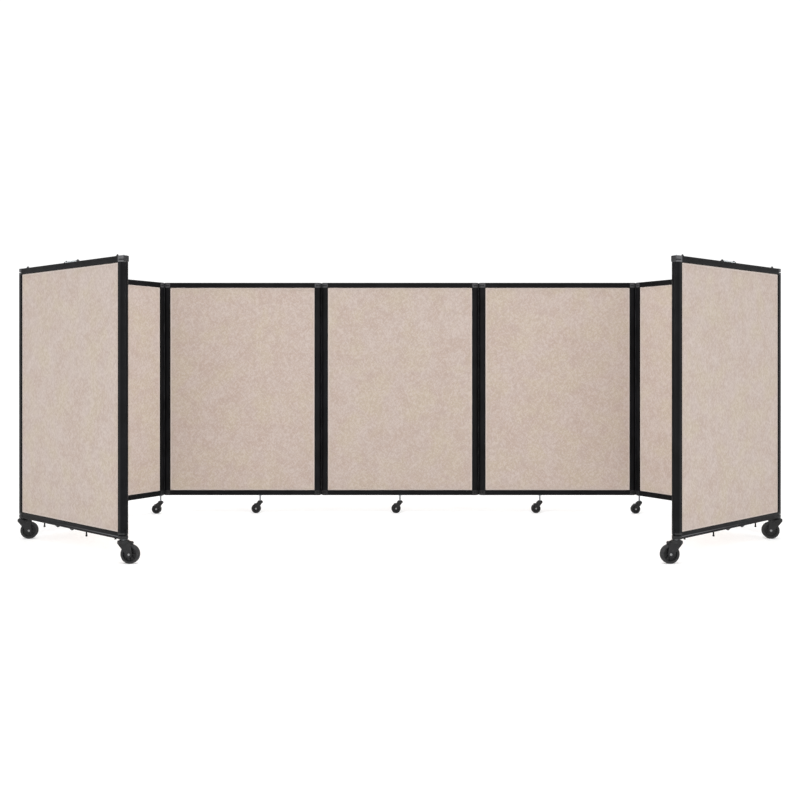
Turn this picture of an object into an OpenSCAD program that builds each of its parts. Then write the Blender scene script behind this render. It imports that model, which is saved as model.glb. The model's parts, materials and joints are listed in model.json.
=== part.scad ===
// Seven-panel folding room partition on casters, standing half open.
// Origin: on the floor, under the middle of the whole screen. +Z up, -Y to the viewer, millimetres.

/* [Partition] */
// Distance from the middle of one straight panel to the next, hinge included
panel_pitch = 833; // [700:1:1000]
// Height of a panel frame, without the casters
frame_h = 1123; // [800:1:2000]
// Height of the frames' underside above the floor
floor_gap = 96; // [94:0.5:110]
// Bend between panels 2 and 3, and between 5 and 6
inner_bend = 56; // [0:1:90]
// Bend between panels 1 and 2, and between 6 and 7
outer_bend = 84; // [0:1:90]

/* [Frame] */
// Thickness of the frame from front to back
frame_t = 34; // [34:0.5:35]
// Width of an upright seen from the front
post_w = 32.5; // [32:0.5:45]
// Height of the top and bottom rails
rail_h = 26; // [26:0.5:40]
// Wall of the hollow uprights and rails
tube_wall = 2; // [1.5:0.1:2.5]
// Radius of the rails' outer edges
rail_round = 4; // [2:0.5:4]
// Depth of the shallow flute along the rail faces
flute_depth = 0.8; // [0.4:0.1:1]
// Width of that flute
flute_w = 7; // [3:0.5:8]

/* [Board] */
// Thickness of the board between its two fabric faces
board_t = 26; // [22:0.5:30]
// Thickness of the board's edge inside the frame grooves
board_edge_t = 20; // [14:0.5:21]
// Depth of the grooves that hold the board
groove_d = 6; // [4:0.5:7]
// Gap between the board and the frame round it
board_clear = 0.3; // [0.2:0.05:0.5]
// Bevel round each fabric face
board_bevel = 3; // [1:0.5:3]

/* [Corner brackets and hinges] */
// Distance between the two pivots of a hinge
pivot_gap = 38; // [37:0.5:44]
// Radius of the hinge pins
pin_r = 4; // [3:0.1:5]
// Radial running clearance round pins and axles
run_clear = 0.05; // [0.03:0.01:0.1]
// Gap between pieces that are pressed or bolted together
seat_gap = 0.03; // [0.02:0.01:0.05]
// Thickness of a hinge link plate
link_t = 3.4; // [2.5:0.1:4]
// Clearance above and below a link plate
link_clear = 0.3; // [0.2:0.05:0.5]
// Radius of a link plate's round ends
link_r = 9.5; // [8:0.5:9.5]
// Width of a link plate's waist
link_waist = 13; // [9:0.5:14]
// Width of the strip that closes the gap between two uprights, front to back
strip_w = 5; // [4:0.5:5]
// Gap between that strip and the uprights' noses
strip_clear = 0.4; // [0.4:0.05:0.6]
// Distance of the link slot from a bracket's outer end
slot_z = 14; // [13.5:0.5:15]
// Length of a bracket's plug in the upright
plug_l = 30; // [15:1:60]
// Length of a bracket's tongue in the rail
tongue_l = 20; // [12:1:20]
// Gap round plug and tongue
plug_clear = 0.2; // [0.1:0.05:0.4]
// Chamfer round a bracket's outer end
bracket_chamfer = 1.5; // [0.5:0.25:2]

/* [End casters] */
// Radius of the four braked end wheels
big_wheel_r = 38; // [36:0.5:38]
// Width of an end wheel
big_wheel_w = 22; // [18:0.5:24]
// Trail of an end wheel behind its swivel axis
big_trail = 27; // [24:0.5:30]
// Radius of the end casters' swivel head
big_head_r = 24; // [22:0.5:26]
// Radius of the end casters' stem
big_stem_r = 5.5; // [4.5:0.25:6]
// Turn of the near casters towards the viewer
near_turn = 6; // [0:1:20]
// Turn of the far casters away from the viewer
far_turn = 12; // [0:1:20]

/* [Middle casters] */
// Radius of the five middle wheels
small_wheel_r = 24.5; // [22:0.5:26]
// Width of a middle wheel
small_wheel_w = 18; // [14:0.5:19]
// Trail of a middle wheel behind its swivel axis
small_trail = 21; // [18:0.5:22]
// Height of the middle casters' swivel head above the floor
small_head_z = 67; // [65:0.5:72]
// Radius of the middle casters' swivel head
small_head_r = 14.5; // [13.5:0.5:15]
// Radius of the middle casters' stem
small_stem_r = 4.5; // [4:0.25:5]
// Distance of panel 3 and 5's stems from the middle of their panels
small_offset = 92; // [0:1:250]

/* [Caster details] */
// Thickness of the fork plates
plate_t = 2.5; // [2:0.1:3]
// Gap between a wheel and its fork plates
side_gap = 1.5; // [1:0.1:2]
// Radius of the wheel axles
axle_r = 4; // [3:0.1:4.5]
// Thickness of the rubber tyre round an end wheel's hub
tyre_t = 9; // [6:0.5:11]
// Thickness of the washer over a swivel head
washer_t = 3; // [2:0.5:4]
// Height of the brake pedal's pivot above the floor
pedal_z = 83; // [82:0.5:84]
// Length of the brake pedal from its pivot
pedal_l = 12; // [10:0.5:14]

/* [End panel fittings] */
// Height of the wedge-shaped holders on the top rail
holder_h = 10; // [6:0.5:14]
// Length of a holder along the rail
holder_l = 20; // [14:0.5:28]
// Depth of the holders and of the clear bar, front to back
holder_w = 16; // [10:0.5:24]
// Height of the clear bar between the holders
bar_h = 6; // [3:0.5:8]
// Place of the holder near the hinge, from the panel's middle towards the free end
holder_a = -34; // [-120:1:-20]
// Place of the holder near the free end
holder_b = 63; // [30:1:150]
// Radius of the bolts hanging under the bottom rail
bolt_r = 2.5; // [2:0.25:4]
// Length that the bolts hang down
bolt_l = 22; // [10:0.5:26]
// Place of the hanging bolt near the hinge
bolt_a = -210; // [-240:1:-150]
// Place of the hanging bolt near the free end
bolt_b = 127; // [60:1:250]
// Place of the wedge near the hinge, under the bottom rail
wedge_a = -100; // [-130:1:-60]
// Place of the wedge near the free end
wedge_b = 11; // [-20:1:30]
// Height of those wedges
wedge_h = 7; // [4:0.5:10]
// Distance of the pegs on the top rail from the uprights
peg_in = 28; // [26:1:60]
// Height of the pegs above the top rail
peg_h = 9; // [5:0.5:12]
// Distance of the short screws under the bottom rail from the uprights
screw_in = 43; // [35:1:60]
// Length of the short screws under the bottom rail
screw_l = 5; // [3:0.5:8]
// Length of the wedges under the bottom rail
wedge_l = 18; // [12:1:24]
// Radius of the two screw heads on the nose of a free end
nose_screw_r = 3; // [2:0.25:3.5]
// Height of the lower one above the frame's underside
nose_screw_low = 21; // [21:0.25:21.5]
// Height of the upper one above the frame's underside
nose_screw_high = 35; // [32:0.5:60]
// Height of the domed pin head on the top bracket of a free end
end_pin_h = 4; // [2:0.5:6]

/* [Hidden] */
$fn = 64;

// Colours as the photograph shows them
black_paint = [0.10, 0.10, 0.11];
charcoal = [0.30, 0.30, 0.31];
fabric = [0.80, 0.73, 0.67];
steel = [0.72, 0.73, 0.75];
black_plastic = [0.14, 0.14, 0.15];
clear_plastic = [0.90, 0.92, 0.92];

eps = 0.01;
middle_panel = 4;
last_panel = 7;

// Plan of the panels: each runs from pivot to pivot, half_span either side of its middle
half_span = (panel_pitch - pivot_gap) / 2;
nose_r = frame_t / 2;
post_in = post_w - nose_r;
inner_x = half_span - post_in;
bottom_z = floor_gap;
top_z = floor_gap + frame_h;

function heading(i) =
    [outer_bend + inner_bend, inner_bend, 0, 0, 0, -inner_bend, -outer_bend - inner_bend][i - 1];
function towards(a) = [cos(a), sin(a)];
function step_between(i, j) =
    half_span * (towards(heading(i)) + towards(heading(j)))
    + pivot_gap * towards((heading(i) + heading(j)) / 2);
function panel_mid(i) =
    i == middle_panel ? [0, 0]
    : i > middle_panel ? panel_mid(i - 1) + step_between(i - 1, i)
    : panel_mid(i + 1) - step_between(i, i + 1);
function end_pivot(i, side) = panel_mid(i) + side * half_span * towards(heading(i));

// The origin lies under the middle of the whole footprint
front_y = end_pivot(last_panel, 1).y - big_head_r;
mid_y = (nose_r + front_y) / 2;

// Brackets
cap_h = rail_h;
slot_h = link_t + 2 * link_clear;
slot_in = link_r + 1.5;
pin_bore_l = cap_h - 2.5;
pin_head_r = pin_r + 2.5;
pin_head_t = 2;
pin_head_seat = pin_head_t + 0.8;
pin_end_play = 0.5;
socket_d = 10;

// Rails: groove for the board, then a web, then the hollow
hollow_y = frame_t / 2 - tube_wall;
hollow_lo = tube_wall;
hollow_hi = rail_h - groove_d - tube_wall;

// Fittings on the end panels' rails and free ends
peg_x = inner_x - peg_in;
screw_x = inner_x - screw_in;
nose_shank_r = 1.5;
nose_shank_l = 6;

// Casters: half widths over the fork plates, roofs of the swivel heads, pedal pivots
big_half_w = big_wheel_w / 2 + side_gap + plate_t;
small_half_w = small_wheel_w / 2 + side_gap + plate_t;
big_head_top = floor_gap - washer_t;
big_head_drop = 14;
small_head_drop = 13;
big_roof_t = 6;
small_roof_t = 4.5;
pedal_x = big_head_r + 7;
pedal_pin_r = 2.5;

// Casters 1 to 9 run from the left free end to the right one
last_caster = 9;
function caster_panel(c) = [1, 1, 2, 3, 4, 5, 6, 7, 7][c - 1];
function caster_x(c) =
    [-half_span, half_span, half_span, small_offset, 0,
     -small_offset, -half_span, -half_span, half_span][c - 1];
function caster_turn(c) =
    [-near_turn, far_turn, 180, 180, 180, 180, 180, 180 - far_turn, 180 + near_turn][c - 1];
function is_end_panel(i) = i == 1 || i == last_panel;
// Panels 3, 4 and 5 have their caster under the bottom rail, 2 and 6 under a bracket
function has_rail_stem(i) = i > 2 && i < last_panel - 1;
// Towards the free end, seen from the middle of an end panel
function free_side(i) = i == 1 ? -1 : 1;
function is_free_end(i, side) = is_end_panel(i) && side == free_side(i);

module at_panel(i) {
    translate([panel_mid(i).x, panel_mid(i).y - mid_y, 0])
        rotate([0, 0, heading(i)])
            children();
}

// Round the pivot at one side of a panel, with +X towards its nose
module at_side(side) {
    translate([side * half_span, 0, 0])
        mirror([side < 0 ? 1 : 0, 0, 0])
            children();
}

module at_caster(c) {
    spot = panel_mid(caster_panel(c)) + caster_x(c) * towards(heading(caster_panel(c)));
    translate([spot.x, spot.y - mid_y, 0])
        rotate([0, 0, caster_turn(c)])
            children();
}

// ---- Frame -------------------------------------------------------------

// Plan of an upright round its pivot, nose towards +X, shrunk by inset on every side
module post_outline(inset, inner) {
    r = nose_r - inset;
    intersection() {
        circle(r = r);
        translate([-inner, -r]) square([inner + r, 2 * r]);
    }
    translate([-inner, -r]) square([inner, 2 * r]);
}

module post(side) {
    translate([side * half_span, 0, bottom_z + cap_h])
        mirror([side < 0 ? 1 : 0, 0, 0])
            linear_extrude(frame_h - 2 * cap_h)
                difference() {
                    post_outline(0, post_in);
                    post_outline(tube_wall, post_in - groove_d - tube_wall);
                    groove_half = board_edge_t / 2 + board_clear;
                    translate([-post_in - eps, -groove_half])
                        square([groove_d + eps, 2 * groove_half]);
                }
}

// Hole for a screw in the nose of an upright or bracket, at height z
module nose_hole(z) {
    translate([nose_r - nose_shank_l, 0, z])
        rotate([0, 90, 0])
            cylinder(r = nose_shank_r + seat_gap, h = nose_shank_l + 1);
}

// Section of a rail: its outer edge at y = 0, the board's groove at y = rail_h
module rail_section() {
    groove_half = board_edge_t / 2 + board_clear;
    difference() {
        union() {
            translate([-frame_t / 2, rail_round])
                square([frame_t, rail_h - rail_round]);
            translate([-frame_t / 2 + rail_round, 0])
                square([frame_t - 2 * rail_round, rail_h]);
            for (x = [-1, 1])
                translate([x * (frame_t / 2 - rail_round), rail_round])
                    circle(r = rail_round);
        }
        translate([-hollow_y, hollow_lo])
            square([2 * hollow_y, hollow_hi - hollow_lo]);
        translate([-groove_half, rail_h - groove_d])
            square([2 * groove_half, groove_d + eps]);
        for (x = [-1, 1])
            translate([x * frame_t / 2 - flute_depth, (rail_h - flute_w) / 2])
                square([2 * flute_depth, flute_w]);
    }
}

module rail() {
    translate([-inner_x, 0, 0])
        rotate([90, 0, 90])
            linear_extrude(2 * inner_x)
                rail_section();
}

module bottom_rail(i) {
    difference() {
        translate([0, 0, bottom_z]) rail();
        if (has_rail_stem(i))
            translate([caster_x(i + 1), 0, bottom_z - eps])
                cylinder(r = small_stem_r + seat_gap, h = tube_wall + 2 * eps);
        if (is_end_panel(i)) {
            for (x = [bolt_a, bolt_b])
                translate([free_side(i) * x, 0, bottom_z - eps])
                    cylinder(r = bolt_r + seat_gap, h = tube_wall + 2 * eps);
            for (x = [-screw_x, screw_x])
                translate([x, 0, bottom_z - eps])
                    cylinder(r = bolt_r + seat_gap, h = tube_wall + 2 * eps);
        }
    }
}

module top_rail(i) {
    difference() {
        translate([0, 0, top_z]) mirror([0, 0, 1]) rail();
        if (is_end_panel(i))
            for (x = [-peg_x, peg_x])
                translate([x, 0, top_z - tube_wall - eps])
                    cylinder(r = bolt_r + seat_gap, h = tube_wall + 2 * eps);
    }
}

module frame(i) {
    color(black_paint)
        at_panel(i) {
            for (side = [-1, 1])
                difference() {
                    post(side);
                    if (is_free_end(i, side))
                        at_side(side) nose_hole(bottom_z + nose_screw_high);
                }
            bottom_rail(i);
            top_rail(i);
        }
}

// ---- Corner brackets ---------------------------------------------------

// Bracket body round a pivot: its outer end at z = 0, nose towards +X
module bracket_body() {
    intersection() {
        rotate_extrude()
            polygon([[0, 0], [nose_r - bracket_chamfer, 0], [nose_r, bracket_chamfer],
                     [nose_r, cap_h], [0, cap_h]]);
        translate([-post_in, -nose_r, 0])
            cube([post_in + nose_r, 2 * nose_r, cap_h]);
    }
    translate([-post_in, 0, 0])
        rotate([90, 0, 90])
            linear_extrude(post_in)
                polygon([[bracket_chamfer - nose_r, 0], [nose_r - bracket_chamfer, 0],
                         [nose_r, bracket_chamfer], [nose_r, cap_h],
                         [-nose_r, cap_h], [-nose_r, bracket_chamfer]]);
    translate([0, 0, cap_h - eps])
        linear_extrude(plug_l + eps)
            post_outline(tube_wall + plug_clear, post_in - groove_d - tube_wall - plug_clear);
    translate([-post_in - tongue_l, plug_clear - hollow_y, hollow_lo + plug_clear])
        cube([tongue_l + eps, 2 * (hollow_y - plug_clear), hollow_hi - hollow_lo - 2 * plug_clear]);
}

// stem is the radius of a caster stem in the bracket's outer end, or 0 where the pin has its head
module bracket(stem) {
    difference() {
        bracket_body();
        translate([-slot_in, -nose_r - 1, slot_z])
            cube([slot_in + nose_r + 1, 2 * nose_r + 2, slot_h]);
        translate([0, 0, -eps])
            cylinder(r = pin_r + run_clear, h = pin_bore_l + 2 * eps);
        if (stem > 0)
            translate([0, 0, -eps])
                cylinder(r = stem + seat_gap, h = socket_d + eps);
        else
            translate([0, 0, -eps])
                cylinder(r = pin_head_r + run_clear, h = pin_head_seat);
    }
}

function stem_at(i, side) =
    is_end_panel(i) ? big_stem_r
    : (i == 2 && side > 0) || (i == last_panel - 1 && side < 0) ? small_stem_r
    : 0;

// Rubber bumper on the nose of a free end, nearly as high as the bracket
module bumper() {
    bumper_t = 5;
    bumper_half_angle = 32;
    rotate([0, 0, -bumper_half_angle])
        rotate_extrude(angle = 2 * bumper_half_angle)
            translate([nose_r + seat_gap, bracket_chamfer])
                square([bumper_t - seat_gap, cap_h - 2 * bracket_chamfer]);
}

// Pin of a free end's top bracket, its domed head standing proud of the bracket
module end_pin() {
    dome_r = pin_head_r - 1.5;
    hinge_pin(0);
    rotate_extrude()
        polygon([[0, -end_pin_h], [dome_r * 0.6, -end_pin_h], [dome_r, -end_pin_h / 2],
                 [dome_r, pin_head_t], [0, pin_head_t]]);
}

module corners(i) {
    at_panel(i)
        for (side = [-1, 1])
            at_side(side) {
                color(charcoal)
                    difference() {
                        translate([0, 0, bottom_z]) bracket(stem_at(i, side));
                        if (is_free_end(i, side))
                            for (z = [nose_screw_low, nose_screw_high])
                                nose_hole(bottom_z + z);
                    }
                color(charcoal) translate([0, 0, top_z]) mirror([0, 0, 1]) bracket(0);
                if (is_free_end(i, side)) {
                    color(black_plastic) translate([0, 0, top_z]) mirror([0, 0, 1]) bumper();
                    color(steel) translate([0, 0, top_z]) mirror([0, 0, 1]) end_pin();
                }
            }
}

// ---- Hinge links -------------------------------------------------------

// Pin through a bracket, from its outer end at z = 0; a caster stem takes the place of its head
module hinge_pin(stem) {
    pin_end = pin_bore_l - pin_end_play;
    pin_start = stem > 0 ? socket_d + pin_end_play : pin_head_t;
    head_sunk = 0.3;
    head_edge = 1.2;
    translate([0, 0, pin_start])
        cylinder(r = pin_r, h = pin_end - pin_start);
    if (stem == 0)
        rotate_extrude()
            polygon([[0, head_sunk], [pin_head_r - head_edge, head_sunk], [pin_head_r, head_edge],
                     [pin_head_r, pin_head_t], [0, pin_head_t]]);
}

// Plan of the strip between two uprights, hollowed to clear both noses, grown by grow on every side
module strip_outline(grow) {
    half_w = strip_w / 2 + grow;
    difference() {
        translate([nose_r, -half_w]) square([pivot_gap - 2 * nose_r, 2 * half_w]);
        for (x = [0, pivot_gap])
            translate([x, 0]) circle(r = nose_r + strip_clear - grow);
    }
}

module link_plate() {
    linear_extrude(link_t)
        difference() {
            union() {
                for (x = [0, pivot_gap])
                    translate([x, 0]) circle(r = link_r);
                translate([0, -link_waist / 2]) square([pivot_gap, link_waist]);
            }
            for (x = [0, pivot_gap])
                translate([x, 0]) circle(r = pin_r);
            strip_outline(seat_gap);
        }
}

module link_end(stem_a, stem_b) {
    translate([0, 0, slot_z + link_clear]) link_plate();
    hinge_pin(stem_a);
    translate([pivot_gap, 0, 0]) hinge_pin(stem_b);
}

// Hinge between panel i and the next one to the right
module hinge(i) {
    spot = end_pivot(i, 1);
    color(charcoal)
        translate([spot.x, spot.y - mid_y, 0])
            rotate([0, 0, (heading(i) + heading(i + 1)) / 2]) {
                translate([0, 0, bottom_z]) link_end(stem_at(i, 1), stem_at(i + 1, -1));
                translate([0, 0, top_z]) mirror([0, 0, 1]) link_end(0, 0);
                translate([0, 0, bottom_z + bracket_chamfer])
                    linear_extrude(frame_h - 2 * bracket_chamfer)
                        strip_outline(0);
            }
}

// ---- Boards ------------------------------------------------------------

// Slab t thick, w wide and h high, its two faces bevelled all round
module bevelled_slab(w, h, t, bevel) {
    intersection() {
        translate([0, 0, -h / 2])
            linear_extrude(h)
                polygon([[-w / 2, bevel - t / 2], [bevel - w / 2, -t / 2],
                         [w / 2 - bevel, -t / 2], [w / 2, bevel - t / 2],
                         [w / 2, t / 2 - bevel], [w / 2 - bevel, t / 2],
                         [bevel - w / 2, t / 2], [-w / 2, t / 2 - bevel]]);
        translate([-w / 2, 0, 0])
            rotate([90, 0, 90])
                linear_extrude(w)
                    polygon([[bevel - t / 2, -h / 2], [t / 2 - bevel, -h / 2],
                             [t / 2, bevel - h / 2], [t / 2, h / 2 - bevel],
                             [t / 2 - bevel, h / 2], [bevel - t / 2, h / 2],
                             [-t / 2, h / 2 - bevel], [-t / 2, bevel - h / 2]]);
    }
}

module board(i) {
    face_w = 2 * (inner_x - board_clear);
    face_h = frame_h - 2 * (rail_h + board_clear);
    tuck = groove_d - board_clear;
    color(fabric)
        at_panel(i)
            translate([0, 0, bottom_z + frame_h / 2]) {
                bevelled_slab(face_w, face_h, board_t, board_bevel);
                cube([2 * (inner_x + tuck), board_edge_t, face_h], center = true);
                cube([face_w, board_edge_t, frame_h - 2 * (rail_h - tuck)], center = true);
            }
}

// ---- Caster stems ------------------------------------------------------

module end_stem() {
    foot_r = 10;
    foot_t = 3;
    washer_r = big_stem_r + 5;
    roof_z = big_head_top - big_roof_t;
    translate([0, 0, roof_z - run_clear - foot_t])
        cylinder(r = foot_r, h = foot_t);
    translate([0, 0, roof_z - foot_t])
        cylinder(r = big_stem_r, h = bottom_z + socket_d - roof_z + foot_t);
    translate([0, 0, big_head_top + run_clear])
        cylinder(r = washer_r, h = washer_t - run_clear);
}

module middle_stem(up) {
    foot_r = 8;
    foot_t = 2.5;
    collar_r = small_stem_r + 3;
    collar_t = 3;
    roof_z = small_head_z - small_roof_t;
    translate([0, 0, roof_z - run_clear - foot_t])
        cylinder(r = foot_r, h = foot_t);
    translate([0, 0, roof_z - foot_t])
        cylinder(r = small_stem_r, h = bottom_z + up - roof_z + foot_t);
    translate([0, 0, bottom_z - collar_t])
        cylinder(r = collar_r, h = collar_t);
}

// Square nut inside the bottom rail
module rail_nut() {
    nut_t = 5;
    nut_w = 24;
    translate([0, 0, bottom_z + tube_wall + seat_gap])
        difference() {
            translate([-nut_w / 2, -nut_w / 2, 0]) cube([nut_w, nut_w, nut_t]);
            translate([0, 0, -eps]) cylinder(r = small_stem_r + seat_gap, h = nut_t + 2 * eps);
        }
}

module stems(i) {
    rail_stem_up = 12;
    color(steel)
        for (c = [1:last_caster])
            if (caster_panel(c) == i)
                at_caster(c) {
                    if (is_end_panel(i)) end_stem();
                    else middle_stem(has_rail_stem(i) ? rail_stem_up : socket_d);
                    if (has_rail_stem(i)) rail_nut();
                }
}

// ---- Caster forks ------------------------------------------------------

// Hollow bell on the stem; the bore runs on the stem, the hollow holds the stem's foot
module swivel_head(top, r, neck_r, drop, roof, wall, bore_r) {
    skirt = drop * 0.35;
    rotate_extrude()
        polygon([[bore_r, top], [neck_r, top], [neck_r + 1.5, top - 0.8],
                 [r - 0.5, top - drop + skirt + 1.4], [r, top - drop + skirt], [r, top - drop],
                 [r - wall, top - drop], [r - wall, top - drop + skirt - 0.7],
                 [neck_r + 0.5, top - roof], [bore_r, top - roof]]);
}

// Both fork plates, seen from the side: two shoulders under the head, a round eye at the axle
module fork_plates(back, front, front_r, axle, eye_r, half_w) {
    back_r = 2.5;
    for (side = [-1, 1])
        translate([0, side > 0 ? half_w : plate_t - half_w, 0])
            rotate([90, 0, 0])
                linear_extrude(plate_t)
                    hull() {
                        translate(back) circle(r = back_r, $fn = 32);
                        translate(front) circle(r = front_r, $fn = 32);
                        translate(axle) circle(r = eye_r, $fn = 32);
                    }
}

// Axle bolt: dome head on one side, nut on the other
module axle_bolt(x, z, half_w) {
    head_r = axle_r + 2;
    head_t = 2.5;
    head_edge = 1.5;
    translate([x, 0, z])
        rotate([90, 0, 0]) {
            translate([0, 0, -half_w]) cylinder(r = axle_r, h = 2 * half_w);
            for (side = [0, 1])
                mirror([0, 0, side])
                    translate([0, 0, half_w + seat_gap])
                        rotate_extrude()
                            polygon([[0, -1], [axle_r, -1], [axle_r, 0], [head_r, 0], [head_r, head_t / 2],
                                     [head_r - head_edge, head_t], [0, head_t]]);
        }
}

module cross_bore(x, z, r, half_w) {
    translate([x, half_w + 1, z])
        rotate([90, 0, 0])
            cylinder(r = r, h = 2 * half_w + 2);
}

module end_fork() {
    neck_r = 12;
    bell_wall = 2.5;
    eye_r = 12;
    pedal_eye_r = 6.5;
    back_x = 5 - big_head_r;
    bridge_l = 2 * big_head_r - 12;
    bridge_z = big_head_top - big_head_drop + 0.5;
    difference() {
        union() {
            swivel_head(big_head_top, big_head_r, neck_r, big_head_drop, big_roof_t, bell_wall,
                        big_stem_r + run_clear);
            fork_plates([back_x, pedal_z - 1], [pedal_x, pedal_z - 1], pedal_eye_r,
                        [big_trail, big_wheel_r], eye_r, big_half_w);
            translate([back_x - 1, -big_half_w + eps, bridge_z])
                cube([bridge_l, 2 * (big_half_w - eps), plate_t]);
        }
        cross_bore(big_trail, big_wheel_r, axle_r + seat_gap, big_half_w);
        cross_bore(pedal_x, pedal_z, pedal_pin_r + seat_gap, big_half_w);
    }
    axle_bolt(big_trail, big_wheel_r, big_half_w);
    translate([pedal_x, big_half_w, pedal_z])
        rotate([90, 0, 0])
            cylinder(r = pedal_pin_r, h = 2 * big_half_w);
}

module middle_fork() {
    neck_r = 8;
    bell_wall = 2;
    eye_r = 8;
    shoulder_r = 3;
    back_x = -9;
    front_x = 13;
    bridge_l = 24;
    bridge_t = 2;
    hood_in = small_wheel_r + 2;
    hood_t = 1.8;
    hood_from = 62;
    hood_arc = 96;
    shoulder_z = small_head_z - small_head_drop + 2.5;
    difference() {
        union() {
            swivel_head(small_head_z, small_head_r, neck_r, small_head_drop, small_roof_t, bell_wall,
                        small_stem_r + run_clear);
            fork_plates([back_x, shoulder_z], [front_x, shoulder_z], shoulder_r,
                        [small_trail, small_wheel_r], eye_r, small_half_w);
            translate([back_x - 1, -small_half_w + eps, shoulder_z - shoulder_r])
                cube([bridge_l, 2 * (small_half_w - eps), bridge_t]);
            // Curved hood over the upper back of the wheel
            translate([small_trail, small_half_w - eps, small_wheel_r])
                rotate([90, 0, 0])
                    rotate([0, 0, hood_from])
                        rotate_extrude(angle = hood_arc)
                            translate([hood_in, 0])
                                square([hood_t, 2 * (small_half_w - eps)]);
        }
        cross_bore(small_trail, small_wheel_r, axle_r + seat_gap, small_half_w);
    }
    axle_bolt(small_trail, small_wheel_r, small_half_w);
}

module fork(c) {
    color(black_plastic)
        at_caster(c)
            if (is_end_panel(caster_panel(c))) end_fork();
            else middle_fork();
}

// ---- Wheels ------------------------------------------------------------

// Dished hub with a boss on the axle, in a rounded tyre
module wheel_at(x, r, w, tyre, boss) {
    bore_r = axle_r + run_clear;
    boss_r = axle_r + 4;
    hub_r = r - tyre;
    rim_in = hub_r - 3;
    rim_lip = hub_r - 2;
    rim = w / 2 - 0.6;
    web = w * 0.175;
    round_r = min(w / 2, tyre) * 0.45;
    translate([x, 0, r])
        rotate([90, 0, 0]) {
            rotate_extrude()
                polygon([[bore_r, -boss], [boss_r, -boss], [boss_r + 1, -web], [rim_in, -web],
                         [rim_lip, -rim], [hub_r, -rim], [hub_r, rim], [rim_lip, rim],
                         [rim_in, web], [boss_r + 1, web], [boss_r, boss], [bore_r, boss]]);
            rotate_extrude($fn = 96)
                difference() {
                    translate([hub_r + seat_gap, -w / 2]) square([tyre - seat_gap, w]);
                    for (side = [-1, 1])
                        translate([r - round_r, side * (w / 2 - round_r)])
                            difference() {
                                translate([0, side > 0 ? 0 : -round_r - 1]) square(round_r + 1);
                                circle(r = round_r);
                            }
                }
        }
}

module wheel(c) {
    boss_gap = 0.3;
    small_tyre_t = tyre_t * 0.7;
    color(black_plastic)
        at_caster(c)
            if (is_end_panel(caster_panel(c)))
                wheel_at(big_trail, big_wheel_r, big_wheel_w, tyre_t, big_half_w - plate_t - boss_gap);
            else
                wheel_at(small_trail, small_wheel_r, small_wheel_w, small_tyre_t,
                         small_half_w - plate_t - boss_gap);
}

// ---- Brake pedals ------------------------------------------------------

module pedal(c) {
    pedal_half_w = big_half_w - plate_t - 0.5;
    boss_r = 4.5;
    tread_t = 5;
    tip_r = 3;
    tip_z = 0.5;
    color(black_plastic)
        at_caster(c)
            translate([pedal_x, pedal_half_w, pedal_z])
                rotate([90, 0, 0])
                    difference() {
                        union() {
                            cylinder(r = boss_r, h = 2 * pedal_half_w);
                            translate([pedal_l - tip_r, tip_z, 0])
                                cylinder(r = tip_r, h = 2 * pedal_half_w);
                            linear_extrude(2 * pedal_half_w)
                                polygon([[0, boss_r - 0.5], [pedal_l - tip_r, tip_z + tread_t / 2],
                                         [pedal_l - tip_r, tip_z - tread_t / 2], [0, 0]]);
                        }
                        translate([0, 0, -1])
                            cylinder(r = pedal_pin_r + run_clear, h = 2 * pedal_half_w + 2);
                    }
}

// ---- Fittings on the end panels ------------------------------------------

// Wedge with its upright face at x = 0, sloping down towards +X
module wedge(l, h, w) {
    rotate([90, 0, 0])
        translate([0, 0, -w / 2])
            linear_extrude(w)
                polygon([[0, 0], [l, 0], [l * 0.45, h * 0.55], [l * 0.3, h], [0, h]]);
}

// Clear bar on the top rail between two wedge-shaped holders
module bar_clip(i) {
    hook_l = holder_l * 0.75;
    bar_from = holder_a + holder_l / 4;
    bar_to = holder_b - holder_l / 4;
    bar_w = holder_w - 2;
    at_panel(i)
        mirror([free_side(i) < 0 ? 1 : 0, 0, 0])
            translate([0, 0, top_z]) {
                color(black_plastic) {
                    translate([bar_to, 0, 0]) wedge(hook_l, holder_h, holder_w);
                    translate([bar_from, 0, 0]) mirror([1, 0, 0]) wedge(hook_l, holder_h, holder_w);
                }
                color(clear_plastic)
                    translate([bar_from + seat_gap, -bar_w / 2, seat_gap])
                        cube([bar_to - bar_from - 2 * seat_gap, bar_w, bar_h]);
            }
}

// Bolt with its round head down, hanging l below z = 0 and reaching up through the rail's wall
module hanging_bolt(l, r) {
    head_r = r * 1.6;
    head_h = min(6, l * 0.4);
    reach = tube_wall + 3;
    translate([0, 0, -l]) {
        cylinder(r = head_r, h = head_h);
        translate([0, 0, head_h]) cylinder(r = r, h = l - head_h + reach);
    }
}

module peg(h, r) {
    foot_r = r + 1.5;
    reach = tube_wall + 2;
    translate([0, 0, -reach])
        cylinder(r = r, h = reach);
    rotate_extrude()
        polygon([[0, 0], [foot_r, 0], [foot_r, h * 0.2], [r * 0.6, h], [0, h]]);
}

// Domed screw on the nose of a free end, at height z
module nose_screw(z) {
    head_h = 2;
    translate([nose_r, 0, z])
        rotate([0, 90, 0])
            rotate_extrude()
                polygon([[0, 0.5 - nose_shank_l], [nose_shank_r, 0.5 - nose_shank_l], [nose_shank_r, 0],
                         [nose_screw_r, 0], [nose_screw_r, head_h * 0.4], [nose_screw_r * 0.6, head_h],
                         [0, head_h]]);
}

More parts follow.
